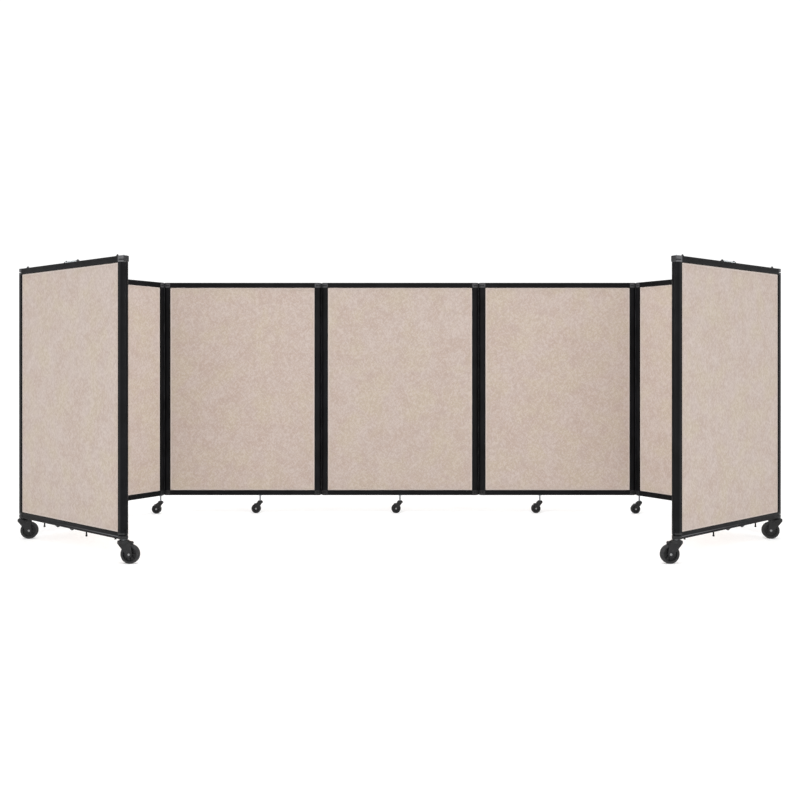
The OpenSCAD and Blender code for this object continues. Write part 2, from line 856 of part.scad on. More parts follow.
module rail_fittings(i) {
    color(black_plastic)
        at_panel(i)
            mirror([free_side(i) < 0 ? 1 : 0, 0, 0]) {
                for (x = [bolt_a, bolt_b])
                    translate([x, 0, bottom_z]) hanging_bolt(bolt_l, bolt_r);
                for (x = [-screw_x, screw_x])
                    translate([x, 0, bottom_z]) hanging_bolt(screw_l, bolt_r);
                for (x = [wedge_a, wedge_b])
                    translate([x, 0, bottom_z]) mirror([0, 0, 1]) wedge(wedge_l, wedge_h, holder_w);
                for (x = [-peg_x, peg_x])
                    translate([x, 0, top_z]) peg(peg_h, bolt_r);
                for (z = [nose_screw_low, nose_screw_high])
                    at_side(1) nose_screw(bottom_z + z);
            }
}

frame(1);  // frame_1
frame(2);  // frame_2
frame(3);  // frame_3
frame(4);  // frame_4
frame(5);  // frame_5
frame(6);  // frame_6
frame(7);  // frame_7
corners(1);  // corners_1
corners(2);  // corners_2
corners(3);  // corners_3
corners(4);  // corners_4
corners(5);  // corners_5
corners(6);  // corners_6
corners(7);  // corners_7
board(1);  // board_1
board(2);  // board_2
board(3);  // board_3
board(4);  // board_4
board(5);  // board_5
board(6);  // board_6
board(7);  // board_7
stems(1);  // stems_1
stems(2);  // stems_2
stems(3);  // stems_3
stems(4);  // stems_4
stems(5);  // stems_5
stems(6);  // stems_6
stems(7);  // stems_7
hinge(1);  // hinge_12
hinge(2);  // hinge_23
hinge(3);  // hinge_34
hinge(4);  // hinge_45
hinge(5);  // hinge_56
hinge(6);  // hinge_67
fork(1);  // fork_1_outer
fork(2);  // fork_1_inner
fork(3);  // fork_2
fork(4);  // fork_3
fork(5);  // fork_4
fork(6);  // fork_5
fork(7);  // fork_6
fork(8);  // fork_7_inner
fork(9);  // fork_7_outer
wheel(1);  // wheel_1_outer
wheel(2);  // wheel_1_inner
wheel(3);  // wheel_2
wheel(4);  // wheel_3
wheel(5);  // wheel_4
wheel(6);  // wheel_5
wheel(7);  // wheel_6
wheel(8);  // wheel_7_inner
wheel(9);  // wheel_7_outer
pedal(1);  // pedal_1_outer
pedal(2);  // pedal_1_inner
pedal(8);  // pedal_7_inner
pedal(9);  // pedal_7_outer
bar_clip(1);  // bar_clip_1
bar_clip(7);  // bar_clip_7
rail_fittings(1);  // rail_fittings_1
rail_fittings(7);  // rail_fittings_7
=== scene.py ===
"""Seven-panel folding room partition: felt-covered boards in black extruded frames, on swivel casters.

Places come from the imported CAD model. Sizes are written in millimetres, and MM turns them into metres.
"""

import json
import logging
import math
from dataclasses import dataclass
from enum import Enum
from typing import Iterable, Sequence

import bmesh
import bpy
from mathutils import Matrix, Vector, noise
from mathutils.geometry import convex_hull_2d

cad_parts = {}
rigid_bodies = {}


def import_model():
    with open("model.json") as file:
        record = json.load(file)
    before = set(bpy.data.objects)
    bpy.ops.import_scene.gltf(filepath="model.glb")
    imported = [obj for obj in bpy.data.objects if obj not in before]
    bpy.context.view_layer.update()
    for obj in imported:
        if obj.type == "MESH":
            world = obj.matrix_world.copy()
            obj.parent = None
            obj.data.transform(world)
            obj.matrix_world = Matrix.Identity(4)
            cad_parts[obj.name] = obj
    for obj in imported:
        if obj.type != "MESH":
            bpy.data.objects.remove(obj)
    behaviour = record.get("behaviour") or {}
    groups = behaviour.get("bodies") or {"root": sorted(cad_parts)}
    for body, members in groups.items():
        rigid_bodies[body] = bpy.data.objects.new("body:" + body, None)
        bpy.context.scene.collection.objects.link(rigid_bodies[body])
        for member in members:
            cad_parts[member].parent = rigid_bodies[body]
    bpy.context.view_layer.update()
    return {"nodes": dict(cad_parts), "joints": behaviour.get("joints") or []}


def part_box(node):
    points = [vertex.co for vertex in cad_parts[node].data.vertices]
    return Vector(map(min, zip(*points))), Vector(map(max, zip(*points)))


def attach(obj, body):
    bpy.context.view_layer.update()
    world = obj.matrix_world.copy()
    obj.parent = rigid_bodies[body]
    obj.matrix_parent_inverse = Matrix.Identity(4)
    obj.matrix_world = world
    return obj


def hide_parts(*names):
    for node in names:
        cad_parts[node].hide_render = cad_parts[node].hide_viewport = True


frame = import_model()

LOG = logging.getLogger("partition")
PANEL_COUNT = 7
MM = 0.001
# Pieces that fit together keep this seam, in millimetres, so that none of their faces lie on each other
SEAM = 0.03
# Points closer than this, in millimetres, are one point
WELD = 1e-4
# Faces that meet at more than this angle keep a sharp edge
SHARP = math.radians(32)

Point = tuple[float, float]
Level = tuple[float, float, float, float]
Circle = tuple[float, float, float]
Outline = list[Point]
Tree = bpy.types.NodeTree
Node = bpy.types.Node
Socket = bpy.types.NodeSocket


# ---- Nodes and colours -------------------------------------------------------------------------


def linear(hex_code: str) -> tuple[float, float, float, float]:
    """Turn an sRGB hex colour into linear RGBA.

    Args:
        hex_code: the colour as "#rrggbb".

    Returns:
        Linear red, green and blue, and an alpha of 1.
    """
    parts = [int(hex_code[i : i + 2], 16) / 255 for i in (1, 3, 5)]
    lit = [c / 12.92 if c <= 0.04045 else ((c + 0.055) / 1.055) ** 2.4 for c in parts]
    return lit[0], lit[1], lit[2], 1.0


def add_node(tree: Tree, kind: str, feeds: dict[str | int, object] | None = None, **settings: object) -> Node:
    """Add a node with its settings and links.

    Args:
        tree: the node tree that takes the node.
        kind: the node's type name.
        feeds: what its inputs get, by name or number: a value, or a socket that is linked to it.
        **settings: values of its attributes.

    Returns:
        The new node.
    """
    made = tree.nodes.new(kind)
    for name, value in settings.items():
        setattr(made, name, value)
    for name, value in (feeds or {}).items():
        if isinstance(value, Socket):
            tree.links.new(value, made.inputs[name])
        else:
            made.inputs[name].default_value = value
    return made


def per_metre(size_mm: float) -> float:
    """Return a noise's scale for features of a real width."""
    return 1 / (size_mm * MM)


# ---- Finishes ----------------------------------------------------------------------------------


@dataclass(frozen=True)
class Finish:
    """A material: its real name, its two colours, its shine and the sizes of its patterns."""

    name: str
    base: str
    shade: str
    roughness: Point
    metallic: float = 0.0
    ior: float = 1.5
    specular: float = 0.5
    mottle_mm: float = 60.0
    mottle_detail: float = 3.0
    # Noise lies close round 0.5, so a colour or a shine changes within these parts of its range
    mottle_range: Point = (0.35, 0.65)
    shine_range: Point = (0.3, 0.7)
    # The grain of a mould or a coat is about 0.1 mm wide: it is drawn coarser, so that it shows in a close view
    grain_mm: float = 1.0
    relief_mm: float = 0.02

    def material(self) -> bpy.types.Material:
        """Return the finish's material, which is built on first use."""
        found = bpy.data.materials.get(self.name)
        if found:
            return found
        made = bpy.data.materials.new(self.name)
        made.use_nodes = True
        tree = made.node_tree
        tree.nodes.clear()
        shine = {"Metallic": self.metallic, "IOR": self.ior, "Specular IOR Level": self.specular}
        shader = add_node(tree, "ShaderNodeBsdfPrincipled", shine)
        add_node(tree, "ShaderNodeOutputMaterial", {"Surface": shader.outputs["BSDF"]})
        self.surface(tree, shader, self.place(tree))
        made.diffuse_color = linear(self.base)
        return made

    def place(self, tree: Tree) -> Socket:
        """Return the coordinates that the patterns use: the piece's own place at rest."""
        return add_node(tree, "ShaderNodeTexCoord").outputs["Object"]

    def surface(self, tree: Tree, shader: Node, place: Socket) -> None:
        """Give the shader its colour, roughness and relief.

        Args:
            tree: the material's node tree.
            shader: its Principled shader.
            place: coordinates in metres.
        """
        grain = {"Vector": place, "Scale": per_metre(self.grain_mm), "Detail": 3.0}
        fine = add_node(tree, "ShaderNodeTexNoise", grain).outputs["Fac"]
        self.dress(tree, shader, self.clouds(tree, place), fine, fine)

    def clouds(self, tree: Tree, place: Socket) -> Socket:
        """Mix the finish's two colours in soft clouds.

        Args:
            tree: the material's node tree.
            place: coordinates in metres.

        Returns:
            The mixed colour.
        """
        mottle = {"Vector": place, "Scale": per_metre(self.mottle_mm), "Detail": self.mottle_detail}
        cloud = add_node(tree, "ShaderNodeTexNoise", mottle).outputs["Fac"]
        return self.layer(tree, cloud, self.mottle_range, linear(self.base), self.shade)

    def layer(self, tree: Tree, pattern: Socket, between: Point, under: Socket | tuple[float, ...], colour: str,
              share: float = 1.0) -> Socket:
        """Lay a colour over another one where a pattern is high.

        Args:
            tree: the material's node tree.
            pattern: the pattern, from 0 to 1.
            between: its values where the colour starts to show and where it shows fully.
            under: the colour below.
            colour: the colour on top, as a hex code.
            share: how much of it shows at most.

        Returns:
            The mixed colour.
        """
        ends = {"From Min": between[0], "From Max": between[1], "To Max": share}
        cover = add_node(tree, "ShaderNodeMapRange", {"Value": pattern, **ends}).outputs["Result"]
        # The Mix node has sockets for every kind of value: 6, 7 and output 2 are those for colours
        return add_node(tree, "ShaderNodeMix", {0: cover, 6: under, 7: linear(colour)}, data_type="RGBA").outputs[2]

    def dress(self, tree: Tree, shader: Node, colour: Socket, shine: Socket, height: Socket) -> None:
        """Feed the shader its colour, its roughness and its relief.

        Args:
            tree: the material's node tree.
            shader: its Principled shader.
            colour: its colour.
            shine: a pattern, from 0 to 1, that the roughness follows.
            height: the relief, from 0 to 1.
        """
        ends = {"From Min": self.shine_range[0], "From Max": self.shine_range[1],
                "To Min": self.roughness[0], "To Max": self.roughness[1]}
        rough = add_node(tree, "ShaderNodeMapRange", {"Value": shine, **ends}).outputs["Result"]
        bump = add_node(tree, "ShaderNodeBump", {"Height": height, "Distance": self.relief_mm * MM})
        for source, name in ((colour, "Base Color"), (rough, "Roughness"), (bump.outputs["Normal"], "Normal")):
            tree.links.new(source, shader.inputs[name])


@dataclass(frozen=True)
class NeedleFelt(Finish):
    """Needle-punched polyester felt: matted fibres in close tones, so it is matt, with short crossing strokes."""

    khaki: str = "#afa292"
    khaki_mm: float = 127.5
    khaki_range: Point = (0.46, 0.66)
    khaki_share: float = 0.8
    # Colour of the painted highlight along the frame, where the felt bends over the board's edge
    rim_highlight: str = "#d2c7c0"
    dark_fibre: str = "#968882"
    dark_range: Point = (0.5, 0.68)
    light_fibre: str = "#c8bfbc"
    light_range: Point = (0.5, 0.34)
    fibre_share: float = 0.26
    # Real fibres are 0.02 mm thick: the strokes stand for tufts of them, as wide as shows in the render
    tuft_mm: float = 8.0
    stretch: float = 0.42
    lie_deg: Point = (35.0, -40.0)
    sheen: float = 0.08
    sheen_roughness: float = 0.6

    def place(self, tree: Tree) -> Socket:
        """Return the place on the cloth, which runs with the board and not with the room."""
        return add_node(tree, "ShaderNodeAttribute", attribute_name="cloth_place").outputs["Vector"]

    def surface(self, tree: Tree, shader: Node, place: Socket) -> None:
        """Colour the felt by wide soft blotches and by short fibres that cross each other.

        Args:
            tree: the material's node tree.
            shader: its Principled shader.
            place: coordinates on the cloth, in metres.
        """
        wide = {"Vector": place, "Scale": per_metre(self.khaki_mm), "Detail": 3.0, "Distortion": 0.4}
        blotch = add_node(tree, "ShaderNodeTexNoise", wide).outputs["Fac"]
        colour = self.layer(tree, blotch, self.khaki_range, self.clouds(tree, place), self.khaki, self.khaki_share)
        strokes = self.strokes(tree, place)
        for between, fibre in ((self.dark_range, self.dark_fibre), (self.light_range, self.light_fibre)):
            colour = self.layer(tree, strokes, between, colour, fibre, self.fibre_share)
        # Painted highlight: along the frame, where the felt bends over the board's edge, it is painted paler
        rim = add_node(tree, "ShaderNodeAttribute", attribute_name="cloth_rim_highlight").outputs["Fac"]
        colour = self.layer(tree, rim, (0.0, 1.0), colour, self.rim_highlight)
        self.dress(tree, shader, colour, strokes, strokes)
        shader.inputs["Sheen Weight"].default_value = self.sheen
        shader.inputs["Sheen Roughness"].default_value = self.sheen_roughness

    def strokes(self, tree: Tree, place: Socket) -> Socket:
        """Draw the fibres: strokes that lie in two directions, each bent by its neighbours.

        Args:
            tree: the material's node tree.
            place: coordinates on the cloth, in metres.

        Returns:
            The fibres' height, from 0 to 1.
        """
        tufts = []
        for turn in self.lie_deg:
            feeds = {"Vector": place, "Rotation": (0.0, math.radians(turn), 0.0)}
            turned = add_node(tree, "ShaderNodeMapping", feeds).outputs["Vector"]
            feeds = {"Vector": turned, "Scale": (1.0, 1.0, self.stretch)}
            drawn = add_node(tree, "ShaderNodeMapping", feeds).outputs["Vector"]
            feeds = {"Vector": drawn, "Scale": per_metre(self.tuft_mm), "Detail": 2.0, "Roughness": 0.55,
                     "Distortion": 1.2}
            tufts.append(add_node(tree, "ShaderNodeTexNoise", feeds).outputs["Fac"])
        both = add_node(tree, "ShaderNodeMath", {0: tufts[0], 1: tufts[1]}, operation="ADD").outputs["Value"]
        ends = {"From Min": 0.6, "From Max": 1.4, "To Min": 0.1, "To Max": 0.9}
        return add_node(tree, "ShaderNodeMapRange", {"Value": both, **ends}).outputs["Result"]


@dataclass(frozen=True)
class PowderCoat(Finish):
    """Black powder coat on extruded aluminium: baked powder leaves a fine orange peel and a satin shine."""

    scuff: str = "#2c2c2e"
    scuff_mm: float = 3.0
    scuff_range: Point = (0.62, 0.8)
    scuff_share: float = 0.35
    # Rub marks are twenty times as long as they are wide
    drawn_out: float = 0.05
    patch_mm: float = 36.0
    peel_mm: float = 2.2

    def surface(self, tree: Tree, shader: Node, place: Socket) -> None:
        """Add faint rub marks along the upright's length to the coat's orange peel.

        Args:
            tree: the material's node tree.
            shader: its Principled shader.
            place: coordinates in metres.
        """
        feeds = {"Vector": place, "Scale": (1.0, 1.0, self.drawn_out)}
        drawn = add_node(tree, "ShaderNodeMapping", feeds).outputs["Vector"]
        noises = []
        for at, size, detail in ((drawn, self.scuff_mm, 5.0), (place, self.patch_mm, 3.0), (place, self.peel_mm, 1.0)):
            feeds = {"Vector": at, "Scale": per_metre(size), "Detail": detail}
            noises.append(add_node(tree, "ShaderNodeTexNoise", feeds).outputs["Fac"])
        marks, patches, peel = noises
        coat = self.clouds(tree, place)
        colour = self.layer(tree, marks, self.scuff_range, coat, self.scuff, self.scuff_share)
        self.dress(tree, shader, colour, patches, peel)


@dataclass(frozen=True)
class HighlightedCoat(PowderCoat):
    """The same coat on an end panel, with a painted highlight on its bottom rail's lip that grows towards the free end.
    """

    # The painted highlight's colour: a light band on the lip of the bottom rail
    painted_highlight: str = "#737376"
    lip_height_mm: float = 10.5
    highlight_width_mm: float = 3.4
    highlight_from_m: float = 1.08
    highlight_to_m: float = 1.5

    def surface(self, tree: Tree, shader: Node, place: Socket) -> None:
        """Lay the painted highlight on the lip over the coat; |x| tells how far along, as the end panels stand on both
        sides of x = 0.

        Args:
            tree: the material's node tree.
            shader: its Principled shader.
            place: coordinates in metres.
        """
        PowderCoat.surface(self, tree, shader, place)
        split = add_node(tree, "ShaderNodeSeparateXYZ", {0: place}).outputs
        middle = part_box("frame_1")[0].z + self.lip_height_mm * MM
        off = add_node(tree, "ShaderNodeMath", {0: split["Z"], 1: middle}, operation="SUBTRACT").outputs["Value"]
        half = self.highlight_width_mm / 2 * MM
        shares = []
        for value, start, end in ((off, half / 2, half), (split["X"], self.highlight_from_m, self.highlight_to_m)):
            size = add_node(tree, "ShaderNodeMath", {0: value}, operation="ABSOLUTE").outputs["Value"]
            ends = {"From Min": start, "From Max": end, "To Min": 1.0, "To Max": 0.0}
            shares.append(add_node(tree, "ShaderNodeMapRange", {"Value": size, **ends}).outputs["Result"])
        # Painted highlight: full on the middle of the lip, fading out away from the free end
        highlit = add_node(tree, "ShaderNodeMath", {0: shares[0], 1: shares[1]}, operation="MULTIPLY").outputs["Value"]
        coat = shader.inputs["Base Color"].links[0].from_socket
        tree.links.new(self.layer(tree, highlit, (0.0, 1.0), coat, self.painted_highlight), shader.inputs["Base Color"])


@dataclass(frozen=True)
class ZincPlate(Finish):
    """Bright zinc plate on turned steel: cloudy silver with the lathe's fine rings under it."""

    # A lathe leaves rings about 0.2 mm apart: they are drawn coarser, so that they show in a close view
    ring_mm: float = 0.8
    drawn_out: float = 0.05

    def surface(self, tree: Tree, shader: Node, place: Socket) -> None:
        """Lay turning rings under the plate's cloudiness.

        Args:
            tree: the material's node tree.
            shader: its Principled shader.
            place: coordinates in metres.
        """
        feeds = {"Vector": place, "Scale": (self.drawn_out, self.drawn_out, 1.0)}
        drawn = add_node(tree, "ShaderNodeMapping", feeds).outputs["Vector"]
        feeds = {"Vector": drawn, "Scale": per_metre(self.ring_mm), "Detail": 2.0}
        rings = add_node(tree, "ShaderNodeTexNoise", feeds).outputs["Fac"]
        self.dress(tree, shader, self.clouds(tree, place), rings, rings)


@dataclass(frozen=True)
class ClearMoulding(Finish):
    """Clear moulded polycarbonate: light passes it, and its surface is slightly drawn by the mould."""

    see_through: float = 0.75

    def surface(self, tree: Tree, shader: Node, place: Socket) -> None:
        """Let light through, with a soft ripple on the surface."""
        Finish.surface(self, tree, shader, place)
        shader.inputs["Transmission Weight"].default_value = self.see_through


@dataclass(frozen=True)
class LitSheet(Finish):
    """Opal sheet over lamps, as on a photographer's table: a little light comes up through it and thins shadows."""

    light: str = "#ffffff"
    glow: float = 0.15

    def surface(self, tree: Tree, shader: Node, place: Socket) -> None:
        """Add the light from below to the sheet's own colour.

        Args:
            tree: the material's node tree.
            shader: its Principled shader.
            place: coordinates in metres.
        """
        Finish.surface(self, tree, shader, place)
        shader.inputs["Emission Color"].default_value = linear(self.light)
        shader.inputs["Emission Strength"].default_value = self.glow


class Finishes(Enum):
    """The finishes of the partition."""

    # Matted fibres scatter all light: soft blotches and short strokes in beige, and no shine
    FELT = NeedleFelt("needle_punched_felt", "#b0a29a", "#ac9c92", (0.85, 0.98), specular=0.15, mottle_mm=75,
                      mottle_detail=2.0, mottle_range=(0.40, 0.62), relief_mm=0.4)
    # Pressed fibres show as brown flecks on the board's bare faces
    FIBREBOARD = Finish("pressed_fibreboard", "#8a6b4a", "#745638", (0.7, 0.85), mottle_mm=8, relief_mm=0.1)
    # Near black with a satin gleam: the coat swallows most light, and its orange peel breaks up the rest
    COAT = PowderCoat("black_powder_coat", "#0b0b0c", "#121214", (0.35, 0.5), specular=0.07, mottle_mm=90,
                      relief_mm=0.03)
    # The same coat with a painted highlight, a lighter line on the bottom rail's lip
    END_COAT = HighlightedCoat("black_powder_coat_painted_highlight", "#0b0b0c", "#121214", (0.35, 0.5), specular=0.07, mottle_mm=90,
                        relief_mm=0.03)
    # Glass-filled nylon, greyer than the coat and with glass flecks at the surface; on the free ends' top brackets it
    # is painted lighter still, as painted light from above
    CAP_PAINTED_LIGHT = Finish("glass_filled_nylon_painted_light", "#4c4c4e", "#58585a", (0.42, 0.6), specular=0.3, mottle_mm=4, relief_mm=0.04)
    # The same nylon painted darker on the top brackets that carry a hinge: painted shade where two panels meet
    KNUCKLE_PAINTED_SHADE = Finish("hinge_nylon_painted_shade", "#353537", "#3d3d3f", (0.42, 0.6), specular=0.3, mottle_mm=4, relief_mm=0.04)
    # The same nylon painted darker still on the foot brackets: painted shade low under the panels
    SHOE_PAINTED_SHADE = Finish("foot_nylon_painted_shade", "#1b1b1c", "#242425", (0.42, 0.6), specular=0.2, mottle_mm=4,
                  relief_mm=0.04)
    # Nylon for casters is tougher and blacker, satin from a spark-eroded mould
    CASTER = Finish("moulded_nylon", "#161617", "#1f1f20", (0.35, 0.55), specular=0.25, mottle_mm=6, grain_mm=0.7)
    # Rubber bloom greys the tread a little, and it has no gloss
    RUBBER = Finish("thermoplastic_rubber", "#242425", "#303031", (0.6, 0.85), specular=0.25, mottle_mm=12,
                    relief_mm=0.05)
    # Zinc is a cloudy silver that catches the lamps along the stem
    ZINC = ZincPlate("zinc_plated_steel", "#a9acb0", "#8f9296", (0.22, 0.4), metallic=1.0, mottle_mm=5)
    # Bolts are plated in a tumbling barrel, which leaves their heads duller and greyer than a turned stem
    BOLT = ZincPlate("barrel_plated_steel", "#929293", "#7e7e7f", (0.35, 0.55), metallic=1.0, mottle_mm=4)
    # Black oxide keeps the steel's own turning marks and a dull metal shine
    OXIDE = ZincPlate("black_oxide_steel", "#2a2a2c", "#1d1d1f", (0.35, 0.55), metallic=0.85, mottle_mm=6)
    # Clear plastic shows as bright edges with the rail seen through it
    CLEAR = ClearMoulding("clear_polycarbonate", "#e8eef0", "#dde5e8", (0.12, 0.25), ior=1.585)
    # The opal sheet is so pale that the floor runs into the background without a line
    FLOOR = LitSheet("matt_studio_floor", "#f8f8f8", "#f5f5f5", (0.85, 0.95), specular=0.1, mottle_mm=400, grain_mm=6)

    @property
    def material(self) -> bpy.types.Material:
        """The finish's Blender material."""
        return self.value.material()


# ---- Making meshes -----------------------------------------------------------------------------


def arc(radius: float, start: float, end: float, steps: int, centre: Point = (0.0, 0.0)) -> Outline:
    """Return the points of an arc.

    Args:
        radius: its radius.
        start: the angle it starts at, in degrees.
        end: the angle it ends at.
        steps: how many straight steps it has.
        centre: its centre.

    Returns:
        steps + 1 points, both ends included.
    """
    angles = [math.radians(start + (end - start) * i / steps) for i in range(steps + 1)]
    return [(centre[0] + radius * math.cos(a), centre[1] + radius * math.sin(a)) for a in angles]


def circle(radius: float, sides: int, centre: Point = (0.0, 0.0)) -> Outline:
    """Return the corners of a regular outline, the first of them towards +X."""
    return arc(radius, 0, 360 - 360 / sides, sides - 1, centre)


def hull(circles: Iterable[Circle]) -> Outline:
    """Return the outline round several circles, each given as x, y and radius."""
    points = [p for x, y, r in circles for p in circle(r, 48, (x, y))]
    return [points[i] for i in convex_hull_2d([Vector(p) for p in points])]


def along_y(x: float, y: float, z: float) -> Matrix:
    """Return the frame whose own XY plane is the part's XZ plane, and whose Z is the part's -Y."""
    return Matrix.Translation((x, y, z)) @ Matrix.Rotation(math.radians(90), 4, "X")


class Form:
    """A mesh in the making, in millimetres, in the frame of the part that it belongs to."""

    def __init__(self) -> None:
        """Start with an empty mesh."""
        self.mesh = bmesh.new()

    def loft(self, rings: Sequence[Sequence[Vector]], closed: bool = False, caps: bool = True) -> None:
        """Join rings of points with faces.

        Args:
            rings: the rings, with as many points each.
            closed: whether the last ring joins the first.
            caps: whether the first and last ring are filled.
        """
        made = [[self.mesh.verts.new(p) for p in ring] for ring in rings]
        count = len(made[0])
        pairs = list(zip(made, made[1:])) + ([(made[-1], made[0])] if closed else [])
        for low, high in pairs:
            for i in range(count):
                j = (i + 1) % count
                self.mesh.faces.new((low[i], low[j], high[j], high[i]))
        if caps and not closed:
            self.mesh.faces.new(made[0])
            self.mesh.faces.new(made[-1])

    def prism(self, outline: Outline, low: float, high: float, place: Matrix = Matrix.Identity(4)) -> None:
        """Extrude an outline.

        Args:
            outline: its points, in the XY plane of place.
            low: the height it starts at.
            high: the height it ends at.
            place: the frame it stands in.
        """
        self.loft([[place @ Vector((x, y, z)) for x, y in outline] for z in (low, high)])

    def block(self, low: Sequence[float], high: Sequence[float]) -> None:
        """Add a block between two corners."""
        outline = [(low[0], low[1]), (high[0], low[1]), (high[0], high[1]), (low[0], high[1])]
        self.prism(outline, low[2], high[2])

    def lathe(self, profile: Outline, place: Matrix = Matrix.Identity(4), steps: int = 48,
              closed: bool = False) -> None:
        """Turn a profile round the Z axis of place.

        Args:
            profile: radius and height of its points.
            place: the frame it stands in.
            steps: how many faces go round.
            closed: whether the last point joins the first, as in a tyre.
        """
        turns = [2 * math.pi * i / steps for i in range(steps)]
        self.loft([[place @ Vector((r * math.cos(t), r * math.sin(t), z)) for t in turns] for r, z in profile],
                  closed, caps=False)

    def thread(self, radius: float, low: float, high: float, pitch: float = 1.0, depth: float = 0.35,
               place: Matrix = Matrix.Identity(4)) -> None:
        """Add a threaded rod along the Z axis of place.

        Args:
            radius: the thread's outer radius.
            low: the height it starts at.
            high: the height it ends at.
            pitch: the thread's pitch.
            depth: the thread's depth.
            place: the frame it stands in.
        """
        around, per_turn = 20, 6
        rows = round((high - low) / pitch * per_turn)
        rings = []
        for row in range(rows + 1):
            z = low + (high - low) * row / rows
            ring = []
            for i in range(around):
                phase = ((z - low) / pitch - i / around) % 1
                r = radius - depth * abs(2 * phase - 1)
                turn = 2 * math.pi * i / around
                ring.append(place @ Vector((r * math.cos(turn), r * math.sin(turn), z)))
            rings.append(ring)
        self.loft(rings)

    def piece(self, name: str, place: Matrix, finish: Finishes, body: str, slot: str, stands_for: str,
              bevel: float = 0.0) -> bpy.types.Object:
        """Turn the mesh into a piece of the scene.

        Args:
            name: the piece's name.
            place: the part's frame in the room, in metres.
            finish: its finish.
            body: the body it rides on.
            slot: the record's material slot; not used.
            stands_for: the CAD node that it replaces.
            bevel: the width of its rounded edges, in millimetres.

        Returns:
            The new object, at the origin, with its place in its mesh.
        """
        bmesh.ops.remove_doubles(self.mesh, verts=self.mesh.verts, dist=WELD)
        bmesh.ops.dissolve_degenerate(self.mesh, edges=self.mesh.edges, dist=WELD)
        bmesh.ops.recalc_face_normals(self.mesh, faces=self.mesh.faces)
        mesh = bpy.data.meshes.new(name)
        self.mesh.to_mesh(mesh)
        self.mesh.free()
        mesh.transform(place @ Matrix.Scale(MM, 4))
        mesh.polygons.foreach_set("use_smooth", [True] * len(mesh.polygons))
        mesh.set_sharp_from_angle(angle=SHARP)
        mesh.materials.append(finish.material)
        made = bpy.data.objects.new(name, mesh)
        bpy.context.scene.collection.objects.link(made)
        if bevel:
            rounding = made.modifiers.new("rounded_edges", "BEVEL")
            rounding.width = bevel * MM
            rounding.segments = 2
            rounding.limit_method = "ANGLE"
            rounding.angle_limit = SHARP
            rounding.harden_normals = True
        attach(made, body)
        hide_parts(stands_for)
        LOG.info("made %s", name)
        return made


# ---- Places ------------------------------------------------------------------------------------


def joint_between(first: str, second: str) -> Vector:
    """Find the joint between two bodies.

    Args:
        first: one body's name.
        second: the other's.

    Returns:
        The joint's place, in metres.
    """
    for joint in frame["joints"]:
        if {joint["parent"], joint["child"]} == {first, second}:
            return Vector(joint["pos_m"])
    raise ValueError(f"no joint joins {first} and {second}")


@dataclass(frozen=True)
class PanelPlace:
    """Where one panel stands: its two pivots, seen from the front."""

    number: int
    left: Vector
    right: Vector
    low: float
    high: float

    @classmethod
    def of(cls, number: int) -> "PanelPlace":
        """Read a panel's place from the frame.

        Args:
            number: the panel's number, from the left.

        Returns:
            Its place, between the pivots or stems at its two ends.
        """
        body = f"panel_{number}"
        before = f"link_{number - 1}{number}" if number > 1 else "caster_1_outer"
        after = f"link_{number}{number + 1}" if number < PANEL_COUNT else f"caster_{PANEL_COUNT}_outer"
        low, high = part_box(f"frame_{number}")
        return cls(number, joint_between(body, before), joint_between(body, after), low.z, high.z)

    @property
    def body(self) -> str:
        """The panel's body."""
        return f"panel_{self.number}"

    @property
    def is_end(self) -> bool:
        """Whether the panel has a free end."""
        return self.number in (1, PANEL_COUNT)

    @property
    def free_side(self) -> int:
        """The side of the free end: -1 left, 1 right."""
        return -1 if self.number == 1 else 1

    @property
    def heading(self) -> float:
        """The panel's direction in plan, in radians."""
        return math.atan2(self.right.y - self.left.y, self.right.x - self.left.x)

    @property
    def half_span(self) -> float:
        """Half the distance between its pivots, in millimetres."""
        return (self.right - self.left).to_2d().length / 2 / MM

    def middle(self, height: float) -> Matrix:
        """Return the frame at the panel's middle, +X to the right along it, at a height in metres."""
        spot = (self.left + self.right) / 2
        return Matrix.Translation((spot.x, spot.y, height)) @ Matrix.Rotation(self.heading, 4, "Z")

    def bracket(self, side: int, top: bool) -> Matrix:
        """Return the frame of a corner bracket.

        Args:
            side: the panel's end: -1 left, 1 right.
            top: whether it is a top bracket, whose frame is turned upside down.

        Returns:
            A frame with the bracket's outer end at its origin and the nose towards +X.
        """
        spot = self.right if side > 0 else self.left
        turn = self.heading if side > 0 else self.heading + math.pi
        place = Matrix.Translation((spot.x, spot.y, self.high if top else self.low))
        place = place @ Matrix.Rotation(turn, 4, "Z")
        return place @ Matrix.Rotation(math.pi, 4, "X") if top else place


@dataclass(frozen=True)
class CasterPlace:
    """Where one caster stands: its name and the panel that carries it."""

    name: str

    @property
    def panel(self) -> int:
        """The panel's number."""
        return int(self.name.split("_")[0])

    @property
    def is_big(self) -> bool:
        """Whether it is one of the four braked end casters."""
        return "_" in self.name

    @property
    def axle(self) -> Vector:
        """The wheel's centre, in metres."""
        return joint_between(f"caster_{self.name}", f"wheel_{self.name}")

    @property
    def stem(self) -> Vector:
        """The swivel joint's place, in metres."""
        return joint_between(f"panel_{self.panel}", f"caster_{self.name}")

    @property
    def trail(self) -> float:
        """How far the wheel trails the stem, in millimetres."""
        return (self.axle - self.stem).to_2d().length / MM

    @property
    def frame(self) -> Matrix:
        """The caster's frame: on the floor under its stem, +X towards the wheel."""
        way = self.axle - self.stem
        turn = Matrix.Rotation(math.atan2(way.y, way.x), 4, "Z")
        return Matrix.Translation((self.stem.x, self.stem.y, 0)) @ turn


# ---- Boards ------------------------------------------------------------------------------------


